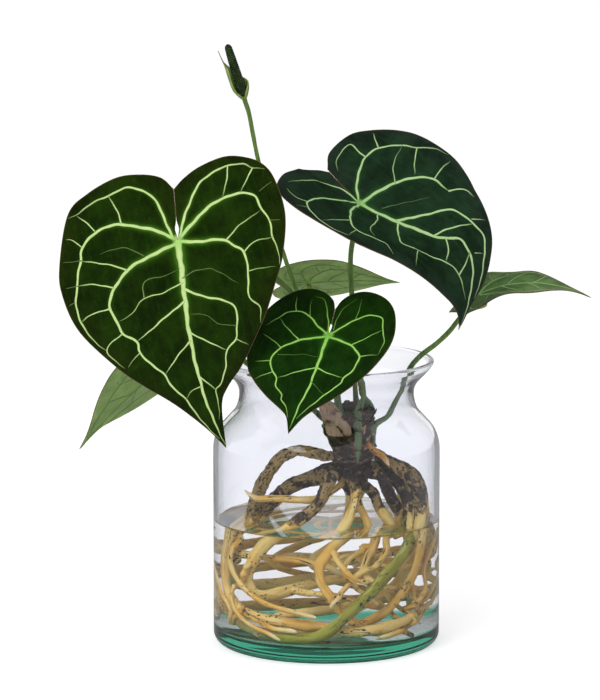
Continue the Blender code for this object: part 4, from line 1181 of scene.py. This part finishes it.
class PLANT_OT_leaves(bpy.types.Operator):
    """Shape the six heart-shaped blades and their veins"""
    bl_idname = "plant.leaves"
    bl_label = "Leaf blades"

    def execute(self, context):
        settings = context.scene.plant_leaves
        under = under_look("leaf_underside_green", settings)
        under_veins = vein_look("under_vein_green", settings.under_vein, settings.under_vein)
        surface = 0.5 * settings.thickness / MM
        proud = settings.proud / MM
        for node, (slot, ground, veins, vein_scale, leaf) in BLADES.items():
            share = min(1.0, leaf.length / FULL_GRID) ** 0.7
            blade = make_blade(node, leaf, veins, vein_scale, int(settings.lines * share),
                               int(settings.rings * share), settings.thickness)
            tint, glow, core = (getattr(settings, ground + end) for end in ("", "_glow", "_vein"))
            upper = upper_look(node + "_upper", tint, glow, core, leaf.length, settings)
            finish_piece(blade, slot, [node], upper, under)
            over = make_veins(node + "_veins", leaf, veins, vein_scale, surface, proud, 1)
            finish_piece(over, slot, [], vein_look(node + "_vein", core, glow))
            below = make_veins(node + "_under_veins", leaf, veins[:UNDER_VEINS],
                               0.75 * vein_scale, surface, 1.6 * proud, -1)
            finish_piece(below, "leaf_underside", [], under_veins)
        return {"FINISHED"}


# ---------------------------------------------------------------- stalks

def stalk_look(settings):
    """Green stalks: greyer near the crown, fresh above, and yellow at the joint of a blade."""
    look = Look("stalk_green", 0.4)
    streaks = look.noise(look.place((1.0, 1.0, 0.12)), 900.0, 3.0, 0.6)
    mottle = look.noise(look.place(), 90.0, 3.0)
    high = look.band(look.height(), 150.0 * MM, 225.0 * MM)
    fresh = look.blend(high, settings.stalk_low, settings.stalk)
    shade = look.blend(1.0, fresh, (0.55, 0.62, 0.5), "MULTIPLY")
    green = look.blend(look.band(streaks, 0.35, 0.62), shade, fresh)
    green = look.blend(look.band(mottle, 0.48, 0.8, 0.0, 0.5), green, (0.26, 0.36, 0.09))
    knee = look.band(look.attribute("knee"), 5.0, 17.0, 0.9, 0.0)
    look.paint(look.blend(knee, green, settings.knee))
    look.gloss(look.band(streaks, 0.3, 0.7, 0.5, 0.34))
    look.bump(streaks, 0.15 * MM, 0.6)
    return look.material


def stalk_rings(node):
    """A stalk's ring middles and radii from the crown up."""
    middles, radii = tube_rings(node)
    if middles[-1][2] < middles[0][2]:
        return middles[::-1], radii[::-1]
    return middles, radii


def clasp(node, radius, share):
    """The swollen base of a stalk and the strip in which it runs on down the crown's flank."""
    middles, radii = stalk_rings(node)
    base = middles[0]
    heading = unit(base[:2] - CROWN_MIDDLE)
    turn = math.atan2(heading[1], heading[0])
    way = [middles[2], middles[1], base]
    for step in np.linspace(0.0, share, 6)[1:]:
        tall = base[2] + step * (CROWN_LOW[2] + 7.0 - base[2])
        reach = crown_radius(tall, turn) + 0.30 * radius * (1.0 - step)
        way.append(np.array([*(CROWN_MIDDLE + heading * reach), tall]))
    line = even(spline(way, 8), 60)
    along = along_line(line)
    above = along_line(np.array(way))[2]
    thick = np.interp(along, [0.0, above, along[-1]], [radii[2], radius, 0.45 * radius])
    return skin_tube(node + "_clasp", line, thick, 14, 8.0)


# How far up the CAD's spike, in millimetres, the drawn one starts.
SPIKE_FOOT = 5.5


def flower_line():
    """Where the drawn spike starts on its stalk, and the way that it points."""
    middles, _ = tube_rings("spadix")
    lean = unit(middles[0] - middles[-1])
    return middles[-1] + SPIKE_FOOT * lean, lean


class PLANT_OT_stalks(bpy.types.Operator):
    """Round off the leaf stalks and the flower's stalk"""
    bl_idname = "plant.stalks"
    bl_label = "Stalks"

    def execute(self, context):
        settings = context.scene.plant_stalks
        green = stalk_look(settings)
        joints = np.array([leaf.place(0.0, 0.0) for *_, leaf in BLADES.values()]).reshape(-1, 3)
        for node in sorted(frame["nodes"]):
            if not node.startswith("petiole") and node != "flower_stalk":
                continue
            middles, radii = stalk_rings(node)
            if node == "flower_stalk":
                foot, lean = flower_line()
                middles = np.vstack([middles, foot + 0.5 * lean])
                radii = np.append(radii, radii[-1])
            line = fine_line(middles, 1.6)
            thick = np.interp(shares_of(line), shares_of(middles), radii)
            stalk = skin_tube(node + "_fine", line, thick, 16, 0.8)
            stalk = join([stalk, clasp(node, *CLASPS[node])])
            roughen(stalk, 9.0 * MM, 0.35 * MM)
            spots = points_of(stalk) / MM
            near = np.linalg.norm(spots[:, None] - joints, axis=2).min(axis=1)
            add_attribute(stalk, "knee", near)
            smooth_shading(stalk)
            finish_piece(stalk, "petiole_green", [node], green)
        return {"FINISHED"}


# ---------------------------------------------------------------- the flower

# The spike's radius in millimetres at shares of its length, and the bract about its foot as
# (height up the spike, reach from its middle, and the angles between which it stands, counted
# from the left round the back).
SPIKE = ((0.0, 3.0), (0.15, 3.25), (0.4, 3.1), (0.7, 2.75), (0.9, 2.4), (1.0, 2.1))
BRACT = ((-2.2, 1.5, -85.0, 265.0), (-0.6, 2.6, -75.0, 250.0), (1.6, 3.9, -56.0, 236.0),
         (4.0, 5.0, -48.0, 222.0), (6.5, 5.6, -45.0, 196.0), (9.0, 5.8, -43.0, 150.0),
         (12.0, 5.9, -43.0, 105.0), (16.0, 5.9, -45.0, 75.0), (20.0, 5.8, -43.0, 50.0),
         (23.0, 6.0, -26.0, 28.0), (25.0, 6.2, -15.0, 15.0), (28.0, 6.5, -8.0, 8.0),
         (33.0, 7.0, -3.5, 3.5))
# How many points stand round the spike, how many rows of grains run up it each way round, and
# how far a grain stands out in millimetres.
SPIKE_SIDES = 72
GRAIN_ROWS = 8.0
GRAIN = 0.26


def make_spike(foot):
    """The flower spike: a tapering rod whose grains lie on two crossing sets of spirals."""
    top = tube_rings("spadix")[0][0]
    line = even(np.array([foot, top]), 150)
    along = along_line(line)
    radii = np.interp(along / along[-1], *np.array(SPIKE).T)
    radii = radii * np.sqrt(1.0 - (1.0 - np.clip(along / 1.6, 0.05, 1.0)) ** 2)
    turns = GRAIN_ROWS * turns_of(SPIKE_SIDES)
    climb = 2.3 * along[:, None]
    grains = np.cos(turns + climb) * np.cos(turns - climb)
    spadix = skin_tube("spadix_fine", line, radii[:, None] + GRAIN * grains, SPIKE_SIDES, 2.8)
    add_attribute(spadix, "grain", grains)
    smooth_shading(spadix)
    return spadix


def spike_look(settings):
    """The dark spike, with a painted highlight of lighter green on the tops of some of its grains.
    """
    look = Look("spike_green", 0.45, 0.3)
    dark = look.blend(look.noise(look.place(), 160.0, 3.0), settings.spadix,
                      toned(settings.spadix, 0.35))
    # painted highlight: lighter green on the raised tops of some grains
    bright = look.math("MULTIPLY", look.band(look.attribute("grain"), 0.35, 0.9),
                       look.band(look.noise(look.place(), 230.0, 2.0), 0.42, 0.6))
    look.paint(look.blend(bright, dark, (0.20, 0.32, 0.08)))
    look.bump(look.noise(look.place(), 1500.0, 2.0), 0.15 * MM, 0.6)
    return look.material


def make_bract(foot, lean):
    """The bract: a sheet that is wrapped about the spike's foot and runs up to a point."""
    left = np.array((-1.0, 0.0, 0.0))
    left = unit(left - lean * left.dot(lean))
    back = np.cross(left, lean)
    ups, reaches, starts, ends = even(spline(BRACT, 8), 60).T[..., None]
    angles = np.radians(starts + (ends - starts) * np.linspace(0.0, 1.0, 21))
    grid = (foot + lean * ups[..., None] + left * (reaches * np.cos(angles))[..., None]
            + back * (reaches * np.sin(angles))[..., None])
    thick = np.interp(ups, [0.0, 22.0, 30.0], [0.7, 0.6, 0.35])[..., None]
    points, faces = sheet(grid, thick)
    spathe = new_piece("spathe_fine", points * MM, faces.tolist())
    face_outward(spathe)
    roughen(spathe, 6.0 * MM, 0.3 * MM)
    smooth_shading(spathe)
    return spathe


def bract_look(settings, level):
    """The pale green bract, ochre and then rosy above a height in millimetres."""
    look = Look("bract_green", 0.45)
    veins = look.noise(look.place((1.0, 1.0, 0.15)), 700.0, 3.0)
    green = look.blend(look.band(veins, 0.35, 0.65), settings.spathe, toned(settings.spathe, 0.6))
    ochre = look.band(look.height(), (level - 2.5) * MM, (level + 0.5) * MM)
    rosy = look.band(look.height(), (level + 1.5) * MM, (level + 4.0) * MM)
    green = look.blend(ochre, green, (0.30, 0.20, 0.03))
    look.paint(look.blend(rosy, green, (0.22, 0.11, 0.10)))
    look.bump(veins, 0.15 * MM, 0.6)
    return look.material


class PLANT_OT_flower(bpy.types.Operator):
    """Shape the flower spike and the bract that stands behind it"""
    bl_idname = "plant.flower"
    bl_label = "Flower spike"

    def execute(self, context):
        settings = context.scene.plant_stalks
        foot, lean = flower_line()
        finish_piece(make_spike(foot), "spadix_green", ["spadix"], spike_look(settings))
        blush = foot[2] + lean[2] * 23.0
        finish_piece(make_bract(foot, lean), "spathe_green", ["spathe"],
                     bract_look(settings, blush))
        return {"FINISHED"}


# ---------------------------------------------------------------- the crown

# The crown's outline as (share of its radius, share of its height).
CROWN_SECTION = ((0.37, 0.0), (0.74, 0.075), (0.97, 0.226), (1.0, 0.415), (0.96, 0.585),
                 (0.85, 0.774), (0.6, 0.925), (0.29, 1.0))
# How thick each stalk's base is, in millimetres, and how far down the crown it clings.
CLASPS = {"petiole_front_small": (3.5, 0.8), "petiole_front_left": (3.2, 0.15),
          "petiole_right": (3.4, 0.5), "petiole_back_left": (3.0, 0.4),
          "petiole_back": (2.8, 0.5), "petiole_back_right": (3.2, 0.45),
          "flower_stalk": (2.6, 0.4)}


def crown_radius(height, turn):
    """The crown's radius at a height and a way out, in millimetres: it bulges to - X high up."""
    shares, heights = np.array(CROWN_SECTION).T
    share = (height - CROWN_LOW[2]) / (CROWN_HIGH[2] - CROWN_LOW[2])
    bulge = 1.0 + 0.5 * ramp(height, 128.0, 148.0) * np.maximum(-np.cos(turn), 0.0)
    return np.interp(share, heights, shares) * 0.5 * (CROWN_HIGH[0] - CROWN_LOW[0]) * bulge


def bark_look(name, dark, pale, patches):
    """Cracked woody bark with pale worn patches, of the given strength, and reddish spots."""
    look = Look(name, 0.8, 0.3)
    where = look.place((1.0, 1.0, 2.6))
    plates = look.cells(where, 150.0)
    grain = look.noise(where, 300.0, 5.0, 0.65)
    ground = look.blend(look.band(grain, 0.38, 0.66), dark, toned(dark, 2.4))
    worn = look.math("MULTIPLY", look.band(plates, 0.55, 0.8), look.band(grain, 0.42, 0.55))
    ground = look.blend(look.math("MULTIPLY", worn, patches), ground, pale)
    red = look.band(look.noise(look.place(), 75.0, 2.0), 0.60, 0.70, 0.0, 0.6)
    look.paint(look.blend(red, ground, (0.16, 0.045, 0.022)))
    look.bump(look.math("ADD", grain, plates), 1.0 * MM, 0.9)
    return look.material


def flakes(name, rows):
    """Ragged scales of old bark: rows of (azimuth in degrees, height, width, length, lean)."""
    batches, faces = [], []
    u = np.linspace(-1.0, 1.0, 7)
    v = np.linspace(0.0, 1.0, 5)[:, None]
    for order, (azimuth, height, wide, tall, lean) in enumerate(rows):
        seed = 1.7 * order
        ragged = 0.22 * np.sin(3.7 * u + seed) + 0.16 * np.sin(9.1 * u + 2.3 * seed)
        up = v * tall * (1.0 + ragged * (v == 1.0))
        out = lean * v * v - 0.4 + 0.35 * np.sin(2.9 * u + 4.0 * v + seed)
        turn = math.radians(azimuth)
        reach = crown_radius(height, turn) + out
        turn = turn + u * 0.5 * wide * (1.0 - 0.25 * v) / reach
        grid = np.stack([CROWN_MIDDLE[0] + reach * np.cos(turn),
                         CROWN_MIDDLE[1] + reach * np.sin(turn), height + up], 2)
        points, sides = sheet(grid, 0.5)
        faces += (sides + sum(len(batch) for batch in batches)).tolist()
        batches.append(points)
    piece = new_piece(name, np.vstack(batches) * MM, faces)
    face_outward(piece)
    subdivide(piece, 1)
    roughen(piece, 1.6 * MM, 0.5 * MM)
    smooth_shading(piece)
    return piece


# The crown's rings of scars, in millimetres: how far one stands above the next, and how deep
# they are cut.
RING = 6.3
RING_DEPTH = 1.3
# Stubs of old leaf bases about the crown's neck: their directions in degrees.
STUBS = (10, 52, 96, 140, 172, 200, 228, 262, 296, 330)
# Scars of fallen stalks, as rows of flakes().
SCARS = ((-62.0, 141.0, 6.0, 5.0, 4.0), (-33.0, 136.0, 7.0, 5.0, 4.2),
         (-48.0, 131.0, 5.5, 4.0, 3.6), (-8.0, 146.0, 6.0, 4.5, 3.8),
         (150.0, 141.0, 6.5, 5.0, 3.8), (75.0, 137.0, 6.0, 4.5, 3.8))


def make_crown():
    """The woody body: the crown's outline, ringed by the scars of old leaves, and rough."""
    bottom = CROWN_LOW[2]
    heights = bottom + (CROWN_HIGH[2] - bottom) * np.linspace(0.0, 1.0, 90)
    rings = RING_DEPTH * (((heights - bottom) / RING) % 1.0) ** 2
    turns = turns_of(72) + math.atan2(0.3, -1.0)
    reach = crown_radius(heights[:, None], turns) - 1.5 + rings[:, None]
    line = np.column_stack([np.tile(CROWN_MIDDLE, (len(heights), 1)), heights])
    crown = skin_tube("crown_fine", line, np.maximum(reach, 0.5), 72, 3.0)
    roughen(crown, 8.0 * MM, 2.6 * MM)
    roughen(crown, 2.4 * MM, 1.5 * MM)
    smooth_shading(crown)
    return crown


def scale_rows():
    """Seven rings of small scales, and the stubs above them, as rows of flakes()."""
    rows = []
    for level in range(7):
        count = 9 if level < 5 else 8
        for spot in range(count):
            wobble = math.sin(7.3 * spot + 3.1 * level)
            rows.append((360.0 * (spot + 0.5 * (level % 2)) / count + 9.0 * wobble,
                         CROWN_LOW[2] + 5.0 + RING * level + 1.6 * wobble, 8.0 + 2.0 * wobble,
                         5.5 + 1.8 * math.sin(2.9 * spot + level),
                         2.4 + 0.35 * level + 1.3 * wobble))
    for azimuth in STUBS:
        rows.append((azimuth, 147.0 + 3.0 * math.sin(azimuth), 11.0, 9.5,
                     6.0 + 1.5 * math.cos(azimuth)))
    return rows


def make_sheath():
    """The dry sheath, leant to the left, widened a little and crumpled."""
    sheath = node_copy("sheath", "sheath_fine")
    subdivide(sheath, 3)
    spots = points_of(sheath)
    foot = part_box("sheath")[0].z
    spots[:, 0] -= 6.0 * MM + 0.30 * (spots[:, 2] - foot)
    spots[:, 2] -= 2.5 * MM
    spots[:, 0] += 0.22 * (spots[:, 0] - spots[:, 0].mean())
    sheath.data.vertices.foreach_set("co", spots.ravel())
    roughen(sheath, 5.0 * MM, 1.2 * MM)
    smooth_shading(sheath)
    return sheath


def paper_look(settings):
    """Dry streaked paper with dark blotches, rosy towards its upper end."""
    look = Look("dry_paper", 0.7)
    streaks = look.noise(look.place((1.0, 1.0, 0.15)), 500.0, 4.0, 0.6)
    blotch = look.noise(look.place(), 130.0, 3.0)
    paper = look.blend(look.band(streaks, 0.3, 0.7), settings.paper, toned(settings.paper, 0.6))
    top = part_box("sheath")[1].z
    rose = look.math("MULTIPLY", look.band(streaks, 0.48, 0.62, 0.0, 0.8),
                     look.band(look.height(), top - 17.0 * MM, top - 4.0 * MM))
    paper = look.blend(rose, paper, (0.36, 0.12, 0.09))
    look.paint(look.blend(look.band(blotch, 0.54, 0.72), paper, (0.10, 0.05, 0.03)))
    look.bump(streaks, 0.3 * MM, 0.8)
    return look.material


class PLANT_OT_crown(bpy.types.Operator):
    """Turn and roughen the woody crown, with its scales and the dry sheath at its neck"""
    bl_idname = "plant.crown"
    bl_label = "Crown and sheath"

    def execute(self, context):
        settings = context.scene.plant_stalks
        crown = make_crown()
        bark = bark_look("bark", settings.bark, settings.bark_pale, 0.85)
        finish_piece(crown, "crown_bark", ["crown"], bark)
        finish_piece(flakes("crown_scales", scale_rows()), "crown_bark", [], bark)
        pale = bark_look("stalk_scar", settings.bark_pale, settings.scar, 1.0)
        finish_piece(flakes("crown_scars", SCARS), "crown_bark", [], pale)
        finish_piece(make_sheath(), "sheath_paper", ["sheath"], paper_look(settings))
        return {"FINISHED"}


# ---------------------------------------------------------------- roots

# How far down, in millimetres above the foot, old bark reaches on a root: none if left out.
BARK_DOWN_TO = {"root_01": 84.0, "root_02": 84.0, "root_04": 84.0, "root_05": 104.0,
                "root_06": 84.0, "root_07": 92.0, "root_08": 92.0, "root_09": 88.0,
                "root_10": 92.0, "root_11": 94.0, "root_12": 90.0, "root_13": 96.0,
                "root_14": 92.0, "root_15": 96.0}

# Thin side roots, in millimetres: the root and the share of its length where each starts,
# its radius, and its way.
SIDE_ROOTS = (
    ("root_10", 0.30, 2.2, ((52, -28, 74), (44, -32, 60), (34, -30, 52), (34, -30, 40),
                            (44, -32, 30), (56, -26, 22))),
    ("root_09", 0.28, 2.0, ((48, -12, 80), (56, -24, 68), (50, -28, 52), (54, -34, 38),
                            (60, -28, 30), (60, -14, 26))),
    ("root_08", 0.25, 2.3, ((34, -26, 78), (34, -34, 68), (26, -38, 58), (16, -42, 52),
                            (8, -48, 44), (2, -58, 36))),
    ("root_11", 0.32, 1.9, ((14, -34, 66), (10, -42, 58), (16, -44, 48), (26, -44, 40),
                            (36, -42, 30), (50, -40, 22))),
    ("root_07", 0.26, 2.4, ((64, -14, 70), (60, -28, 56), (62, -30, 42), (58, -36, 30),
                            (48, -48, 20), (30, -58, 16))),
    ("root_14", 0.38, 2.3, ((56, 30, 60), (62, 16, 52), (64, -4, 44), (62, -20, 36),
                            (54, -36, 24))),
    ("root_02", 0.30, 2.4, ((-52, -14, 70), (-58, -26, 58), (-52, -38, 46), (-40, -50, 38),
                            (-24, -58, 34), (-6, -62, 30))),
    ("root_04", 0.45, 2.1, ((-52, -36, 52), (-58, -30, 40), (-56, -36, 28), (-44, -50, 20),
                            (-28, -60, 15))),
    ("root_12", 0.35, 2.4, ((-60, 20, 56), (-64, 0, 48), (-62, -20, 36), (-52, -40, 26),
                            (-36, -54, 20), (-18, -62, 18))),
    ("root_05", 0.42, 2.0, ((8, -54, 64), (16, -58, 56), (28, -52, 50), (38, -40, 46),
                            (50, -28, 42), (60, -12, 38))),
    ("root_15", 0.42, 2.0, ((4, -18, 62), (14, -26, 66), (26, -30, 58), (30, -22, 48),
                            (22, -14, 42), (30, -12, 34))),
    ("root_13", 0.45, 2.5, ((-20, 50, 50), (0, 52, 38), (20, 50, 30), (40, 44, 24),
                            (56, 28, 20))),
    ("root_09", 0.45, 2.1, ((44, 24, 44), (56, 14, 36), (60, -6, 30), (54, -26, 22),
                            (40, -44, 16))),
    ("root_02", 0.42, 2.9, ((-46, -10, 63), (-34, -20, 63), (-18, -26, 63), (-2, -26, 59),
                            (10, -22, 52))),
    ("root_04", 0.70, 2.4, ((-12, -32, 42), (0, -40, 42), (12, -42, 40), (24, -38, 34),
                            (34, -28, 30))),
    ("root_14", 0.32, 2.2, ((60, 24, 74), (62, 4, 66), (56, -14, 60), (44, -22, 56),
                            (30, -26, 59), (16, -28, 62))),
    ("root_09", 0.38, 2.2, ((56, -8, 68), (56, -18, 58), (48, -20, 48), (38, -20, 42),
                            (28, -26, 36), (18, -32, 30))),
)


# The bare room, in millimetres, that a side root keeps from other roots, and how high above
# the floor the jar's foot lets it lie.
ROOM = 0.4
LOWEST = 12.0
# The steps in which the bark's weight is handed on to the displacement.
BARK_STEPS = 8


def root_look(name, settings, skin, second, aged, coarse, pale_tip=16.0):
    """A root's skin: streaked and speckled where young, and rough and dark where old."""
    look = Look(name, 0.4, 0.3)
    where = look.place()
    patch = look.noise(where, 30.0, 3.0)
    young = look.blend(look.band(patch, 0.44, 0.60), skin, second)
    streaks = look.noise(look.skin((0.14, 1.0, 1.0)), 330.0, 3.0, 0.55)
    young = look.blend(look.band(streaks, 0.50, 0.72, 0.0, 0.7), young,
                       mixed(settings.pale, skin, 0.5, 0.575))
    young = look.blend(look.band(streaks, 0.46, 0.28, 0.0, 0.6), young,
                       toned(skin, 0.72, 0.55, 0.35))
    tip = look.band(look.attribute("tip"), 0.12 * pale_tip, pale_tip, 0.75, 0.0)
    young = look.blend(tip, young, settings.pale)
    clusters = look.band(look.noise(where, 42.0, 2.0), 0.50, 0.60)
    spots = look.noise(look.skin((0.7, 1.0, 1.0)), 620.0, 2.0, 0.6)
    specks = look.math("MULTIPLY", look.band(spots, 0.575, 0.625), clusters)
    lines = look.noise(look.skin((0.10, 1.0, 1.0)), 190.0, 2.0, 0.5)
    off = look.math("ABSOLUTE", look.math("SUBTRACT", lines, 0.52))
    cracked = look.band(look.noise(where, 33.0, 2.0), 0.53, 0.60)
    cracks = look.math("MULTIPLY", look.band(off, 0.004, 0.014, 1.0, 0.0), cracked)
    marks = look.math("MAXIMUM", specks, cracks)
    young = look.blend(marks, young, settings.speck)
    grain = look.noise(where, 260.0, 5.0, 0.7)
    old = look.blend(look.band(grain, 0.36, 0.52), settings.bark, aged)
    tan = look.band(look.noise(where, 130.0, 4.0, 0.6), coarse, coarse + 0.12, 0.0, 0.9)
    old = look.blend(tan, old, settings.tan)
    old = look.blend(look.band(spots, 0.54, 0.60), old, settings.speck)
    bark = look.attribute("bark")
    edge = look.math("ADD", bark, look.math("MULTIPLY", look.math("SUBTRACT", grain, 0.5), 1.7))
    old_here = look.band(edge, 0.40, 0.58)
    look.paint(look.blend(old_here, young, old))
    look.gloss(look.band(bark, 0.2, 0.8, 0.36, 0.75))
    wrinkles = look.noise(look.skin((3.0, 0.6, 0.6)), 380.0, 2.0)
    rough = look.math("MULTIPLY", look.math("MULTIPLY", grain, old_here), 2.0)
    height = look.math("ADD", look.math("MULTIPLY", wrinkles, 0.5), rough)
    look.bump(look.math("SUBTRACT", height, marks), 0.5 * MM, 0.8)
    return look.material


def make_room(line, radius, roots, limit):
    """Move a side root's line clear of the roots about it, of the glass and of the foot."""
    line = line.copy()
    ease = ramp(along_line(line), 2.0, 14.0)[:, None]
    for _ in range(50):
        shift = np.zeros_like(line)
        for points, radii in roots:
            away = line[:, None] - points
            distance = np.linalg.norm(away, axis=2)
            lacking = np.maximum(radii + radius + ROOM - distance, 0.0)
            push = away / np.maximum(distance, 0.01)[..., None] * lacking[..., None]
            shift += push.sum(1) * 0.3
        reach = np.linalg.norm(line[:, :2], axis=1)
        over = np.maximum(reach + radius - limit, 0.0)
        shift[:, :2] -= line[:, :2] * (over / np.maximum(reach, 1.0))[:, None]
        shift[:, 2] += np.maximum(LOWEST + radius - line[:, 2], 0.0)
        padded = np.pad(shift, ((2, 2), (0, 0)), mode="edge")
        line += ease * sum(padded[step:step + len(line)] for step in range(5)) / 5.0
    return line


def root_lines(station):
    """The fine middle line and the radii along it, in millimetres, of each of the CAD's roots."""
    lines = {}
    for node in [*sorted(node for node in frame["nodes"] if node.startswith("root_")),
                 "aerial_root"]:
        middles, radii = tube_rings(node)
        line = fine_line(middles, station, least=8)
        share = np.linspace(0.0, 1.0, len(line))
        stout = 1.4 if node == "aerial_root" else 1.0
        lines[node] = (line, stout * np.interp(share, shares_of(middles), radii))
    return lines


def side_root_lines(lines):
    """The side roots' lines and radii, listed for each root that they grow from."""
    limit = (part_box("water")[1].x - 0.6 * MM) / MM
    placed = [(line[::3], radii[::3]) for line, radii in lines.values()]
    side = {}
    for node, share, radius, way in SIDE_ROOTS:
        line, _ = lines[node]
        way = make_room(fine_line([line[int(share * len(line))], *way], 1.1, 12), radius, placed,
                        limit)
        placed.append((way[::2], np.full(len(way[::2]), radius)))
        thin = radius * (1.0 - 0.35 * np.linspace(0.0, 1.0, len(way)))
        side.setdefault(node, []).append((way, thin))
    return side


def roughen_root(root, node, settings):
    """Raise a root's knots, and its rough bark above the height where that begins."""
    floor = BARK_DOWN_TO.get(node, 999.0)
    bark = ramp(points_of(root)[:, 2] / MM, floor - 10.0, floor + 14.0)
    add_attribute(root, "bark", bark)
    group = root.vertex_groups.new(name="bark")
    for step in range(1, BARK_STEPS + 1):
        here = np.flatnonzero(np.round(BARK_STEPS * bark) == step)
        group.add(here.tolist(), step / BARK_STEPS, "REPLACE")
    roughen(root, 9.0 * MM, settings.knots)
    roughen(root, 2.4 * MM, settings.flakes, 0.45, "bark")
    smooth_shading(root)


class PLANT_OT_roots(bpy.types.Operator):
    """Give the roots their knots, their rough old bark, their specks and their side roots"""
    bl_idname = "plant.roots"
    bl_label = "Roots"

    def execute(self, context):
        settings = context.scene.plant_roots
        dark = toned(settings.bark, 3.0)
        cream, honey, green = settings.cream, settings.honey, settings.green
        looks = {
            "root_cream": root_look("cream_root", settings, cream, honey, dark, 0.50),
            "root_green": root_look("green_root", settings, green, toned(green, 0.75), dark, 0.50),
            "root_orange": root_look("orange_root", settings, settings.orange, honey, dark, 0.50,
                                     7.0),
            "root_brown": root_look("brown_root", settings, cream, honey, dark, 0.44),
            "root_arch": root_look("arching_root", settings, honey, cream, settings.arch, 0.40),
        }
        slots = {row["node"]: row["material_slot"] for row in frame["record"]["subparts"]}
        lines = root_lines(settings.station / MM)
        side = side_root_lines(lines)
        for order, (node, (line, radii)) in enumerate(lines.items()):
            along = along_line(line)
            wave = 0.05 * np.sin(along / 4.3 + order) + 0.04 * np.sin(along / 9.1 + 2.0 * order)
            tubes = [skin_tube(node + "_fine", line, radii * (1.0 + wave), settings.sides, 9.0)]
            for way, thin in side.get(node, []):
                tubes.append(skin_tube(node + "_side", way, thin, 12, 6.0))
            root = join(tubes)
            roughen_root(root, node, settings)
            kind = "root_arch" if node == "root_01" else slots[node]
            finish_piece(root, slots[node], [node], looks.get(kind, looks["root_cream"]))
        return {"FINISHED"}


# ---------------------------------------------------------------- stage

def floor_look(settings):
    """A white floor that gives off light where it is looked at, straight or through glass.

    It is darker, and gives off none, for light that was thrown back inside the glass.
    """
    look = Look("floor_white", 0.9)
    path = look.node("LightPath").outputs
    thrown = look.math("MINIMUM", path["Glossy Depth"], 1.0)
    look.paint(look.blend(thrown, (0.86, 0.86, 0.87), (0.50, 0.50, 0.51)))
    straight = look.math("MULTIPLY", path["Is Transmission Ray"],
                         look.math("SUBTRACT", 1.0, thrown))
    seen = look.math("MAXIMUM", path["Is Camera Ray"], straight)
    look.fix("Emission Color", (1.0, 1.0, 1.0, 1.0))
    look.feed(look.surface.inputs["Emission Strength"],
              look.math("MULTIPLY", seen, settings.floor_light))
    return look.material


def even_light(settings):
    """A white world that lights the plant less than it shows, and least where it is mirrored.

    Things that mirror it from the front see `shine`, and matt things get `fill`.
    """
    world = bpy.data.worlds.new("studio")
    sky = Nodes(world)
    path = sky.node("LightPath").outputs
    seen = sky.math("MAXIMUM", path["Is Camera Ray"], path["Is Transmission Ray"])
    heading = sky.add("SeparateXYZ", {0: sky.node("TexCoord").outputs["Generated"]})
    backdrop = sky.span(heading.outputs["Y"], settings.shine, 1.0, -0.1, 0.4)
    sharp = sky.span(path["Is Singular Ray"], settings.shine, backdrop)
    shine = sky.span(path["Is Glossy Ray"], settings.fill, sharp)
    background = sky.tree.nodes["Background"].inputs
    sky.feed(background["Color"], (1.0, 1.0, 1.0))
    sky.feed(background["Strength"], sky.span(seen, shine, 1.0))
    return world


def turn_to(obj, target):
    """Turn a lamp or a camera to look at a place."""
    obj.rotation_euler = (target - obj.location).to_track_quat("-Z", "Y").to_euler()


class PLANT_OT_stage(bpy.types.Operator):
    """Set up the pale floor, the soft light and the camera"""
    bl_idname = "plant.stage"
    bl_label = "Stage"

    def execute(self, context):
        settings = context.scene.plant_stage
        scene = context.scene
        bpy.ops.mesh.primitive_plane_add(size=60.0, location=(0.0, 0.0, -0.2 * MM))
        floor = context.object
        floor.name = "floor"
        floor.data.materials.append(floor_look(settings))
        scene.world = even_light(settings)

        bpy.ops.object.light_add(type="AREA", location=(-1.1, -1.7, 2.3))
        key = context.object
        key.data.shape = "DISK"
        key.data.size = 1.6
        key.data.energy = settings.key
        key.visible_glossy = False
        turn_to(key, Vector((0.0, 0.0, 0.2)))

        spot = (-settings.offset, -settings.distance, settings.height)
        bpy.ops.object.camera_add(location=spot)
        camera = context.object
        camera.data.lens = settings.lens
        camera.data.clip_end = 100.0
        turn_to(camera, Vector((-settings.offset, 0.0, settings.aim)))
        scene.camera = camera
        scene.view_settings.view_transform = "Standard"
        return {"FINISHED"}


# ---------------------------------------------------------------- add-on

OPERATORS = (PLANT_OT_vase, PLANT_OT_water, PLANT_OT_leaves, PLANT_OT_stalks, PLANT_OT_flower,
             PLANT_OT_crown, PLANT_OT_roots, PLANT_OT_stage)
SETTINGS = {"plant_vase": VaseSettings, "plant_leaves": LeafSettings,
            "plant_stalks": StalkSettings, "plant_roots": RootSettings,
            "plant_stage": StageSettings}


class PLANT_PT_pieces(bpy.types.Panel):
    """The pieces of the plant, in the order they are made"""
    bl_label = "Anthurium in a Glass Vase"
    bl_idname = "PLANT_PT_pieces"
    bl_space_type = "VIEW_3D"
    bl_region_type = "UI"
    bl_category = "Plant"

    def draw(self, context):
        for operator in OPERATORS:
            self.layout.operator(operator.bl_idname)


CLASSES = (*SETTINGS.values(), *OPERATORS, PLANT_PT_pieces)


def register():
    for entry in CLASSES:
        bpy.utils.register_class(entry)
    for name, group in SETTINGS.items():
        setattr(bpy.types.Scene, name, PointerProperty(type=group))


def unregister():
    for name in SETTINGS:
        delattr(bpy.types.Scene, name)
    for entry in reversed(CLASSES):
        bpy.utils.unregister_class(entry)


def main():
    register()
    bpy.ops.plant.vase()
    bpy.ops.plant.water()
    bpy.ops.plant.leaves()
    bpy.ops.plant.stalks()
    bpy.ops.plant.flower()
    bpy.ops.plant.crown()
    bpy.ops.plant.roots()
    bpy.ops.plant.stage()


if __name__ == "__main__":
    main()
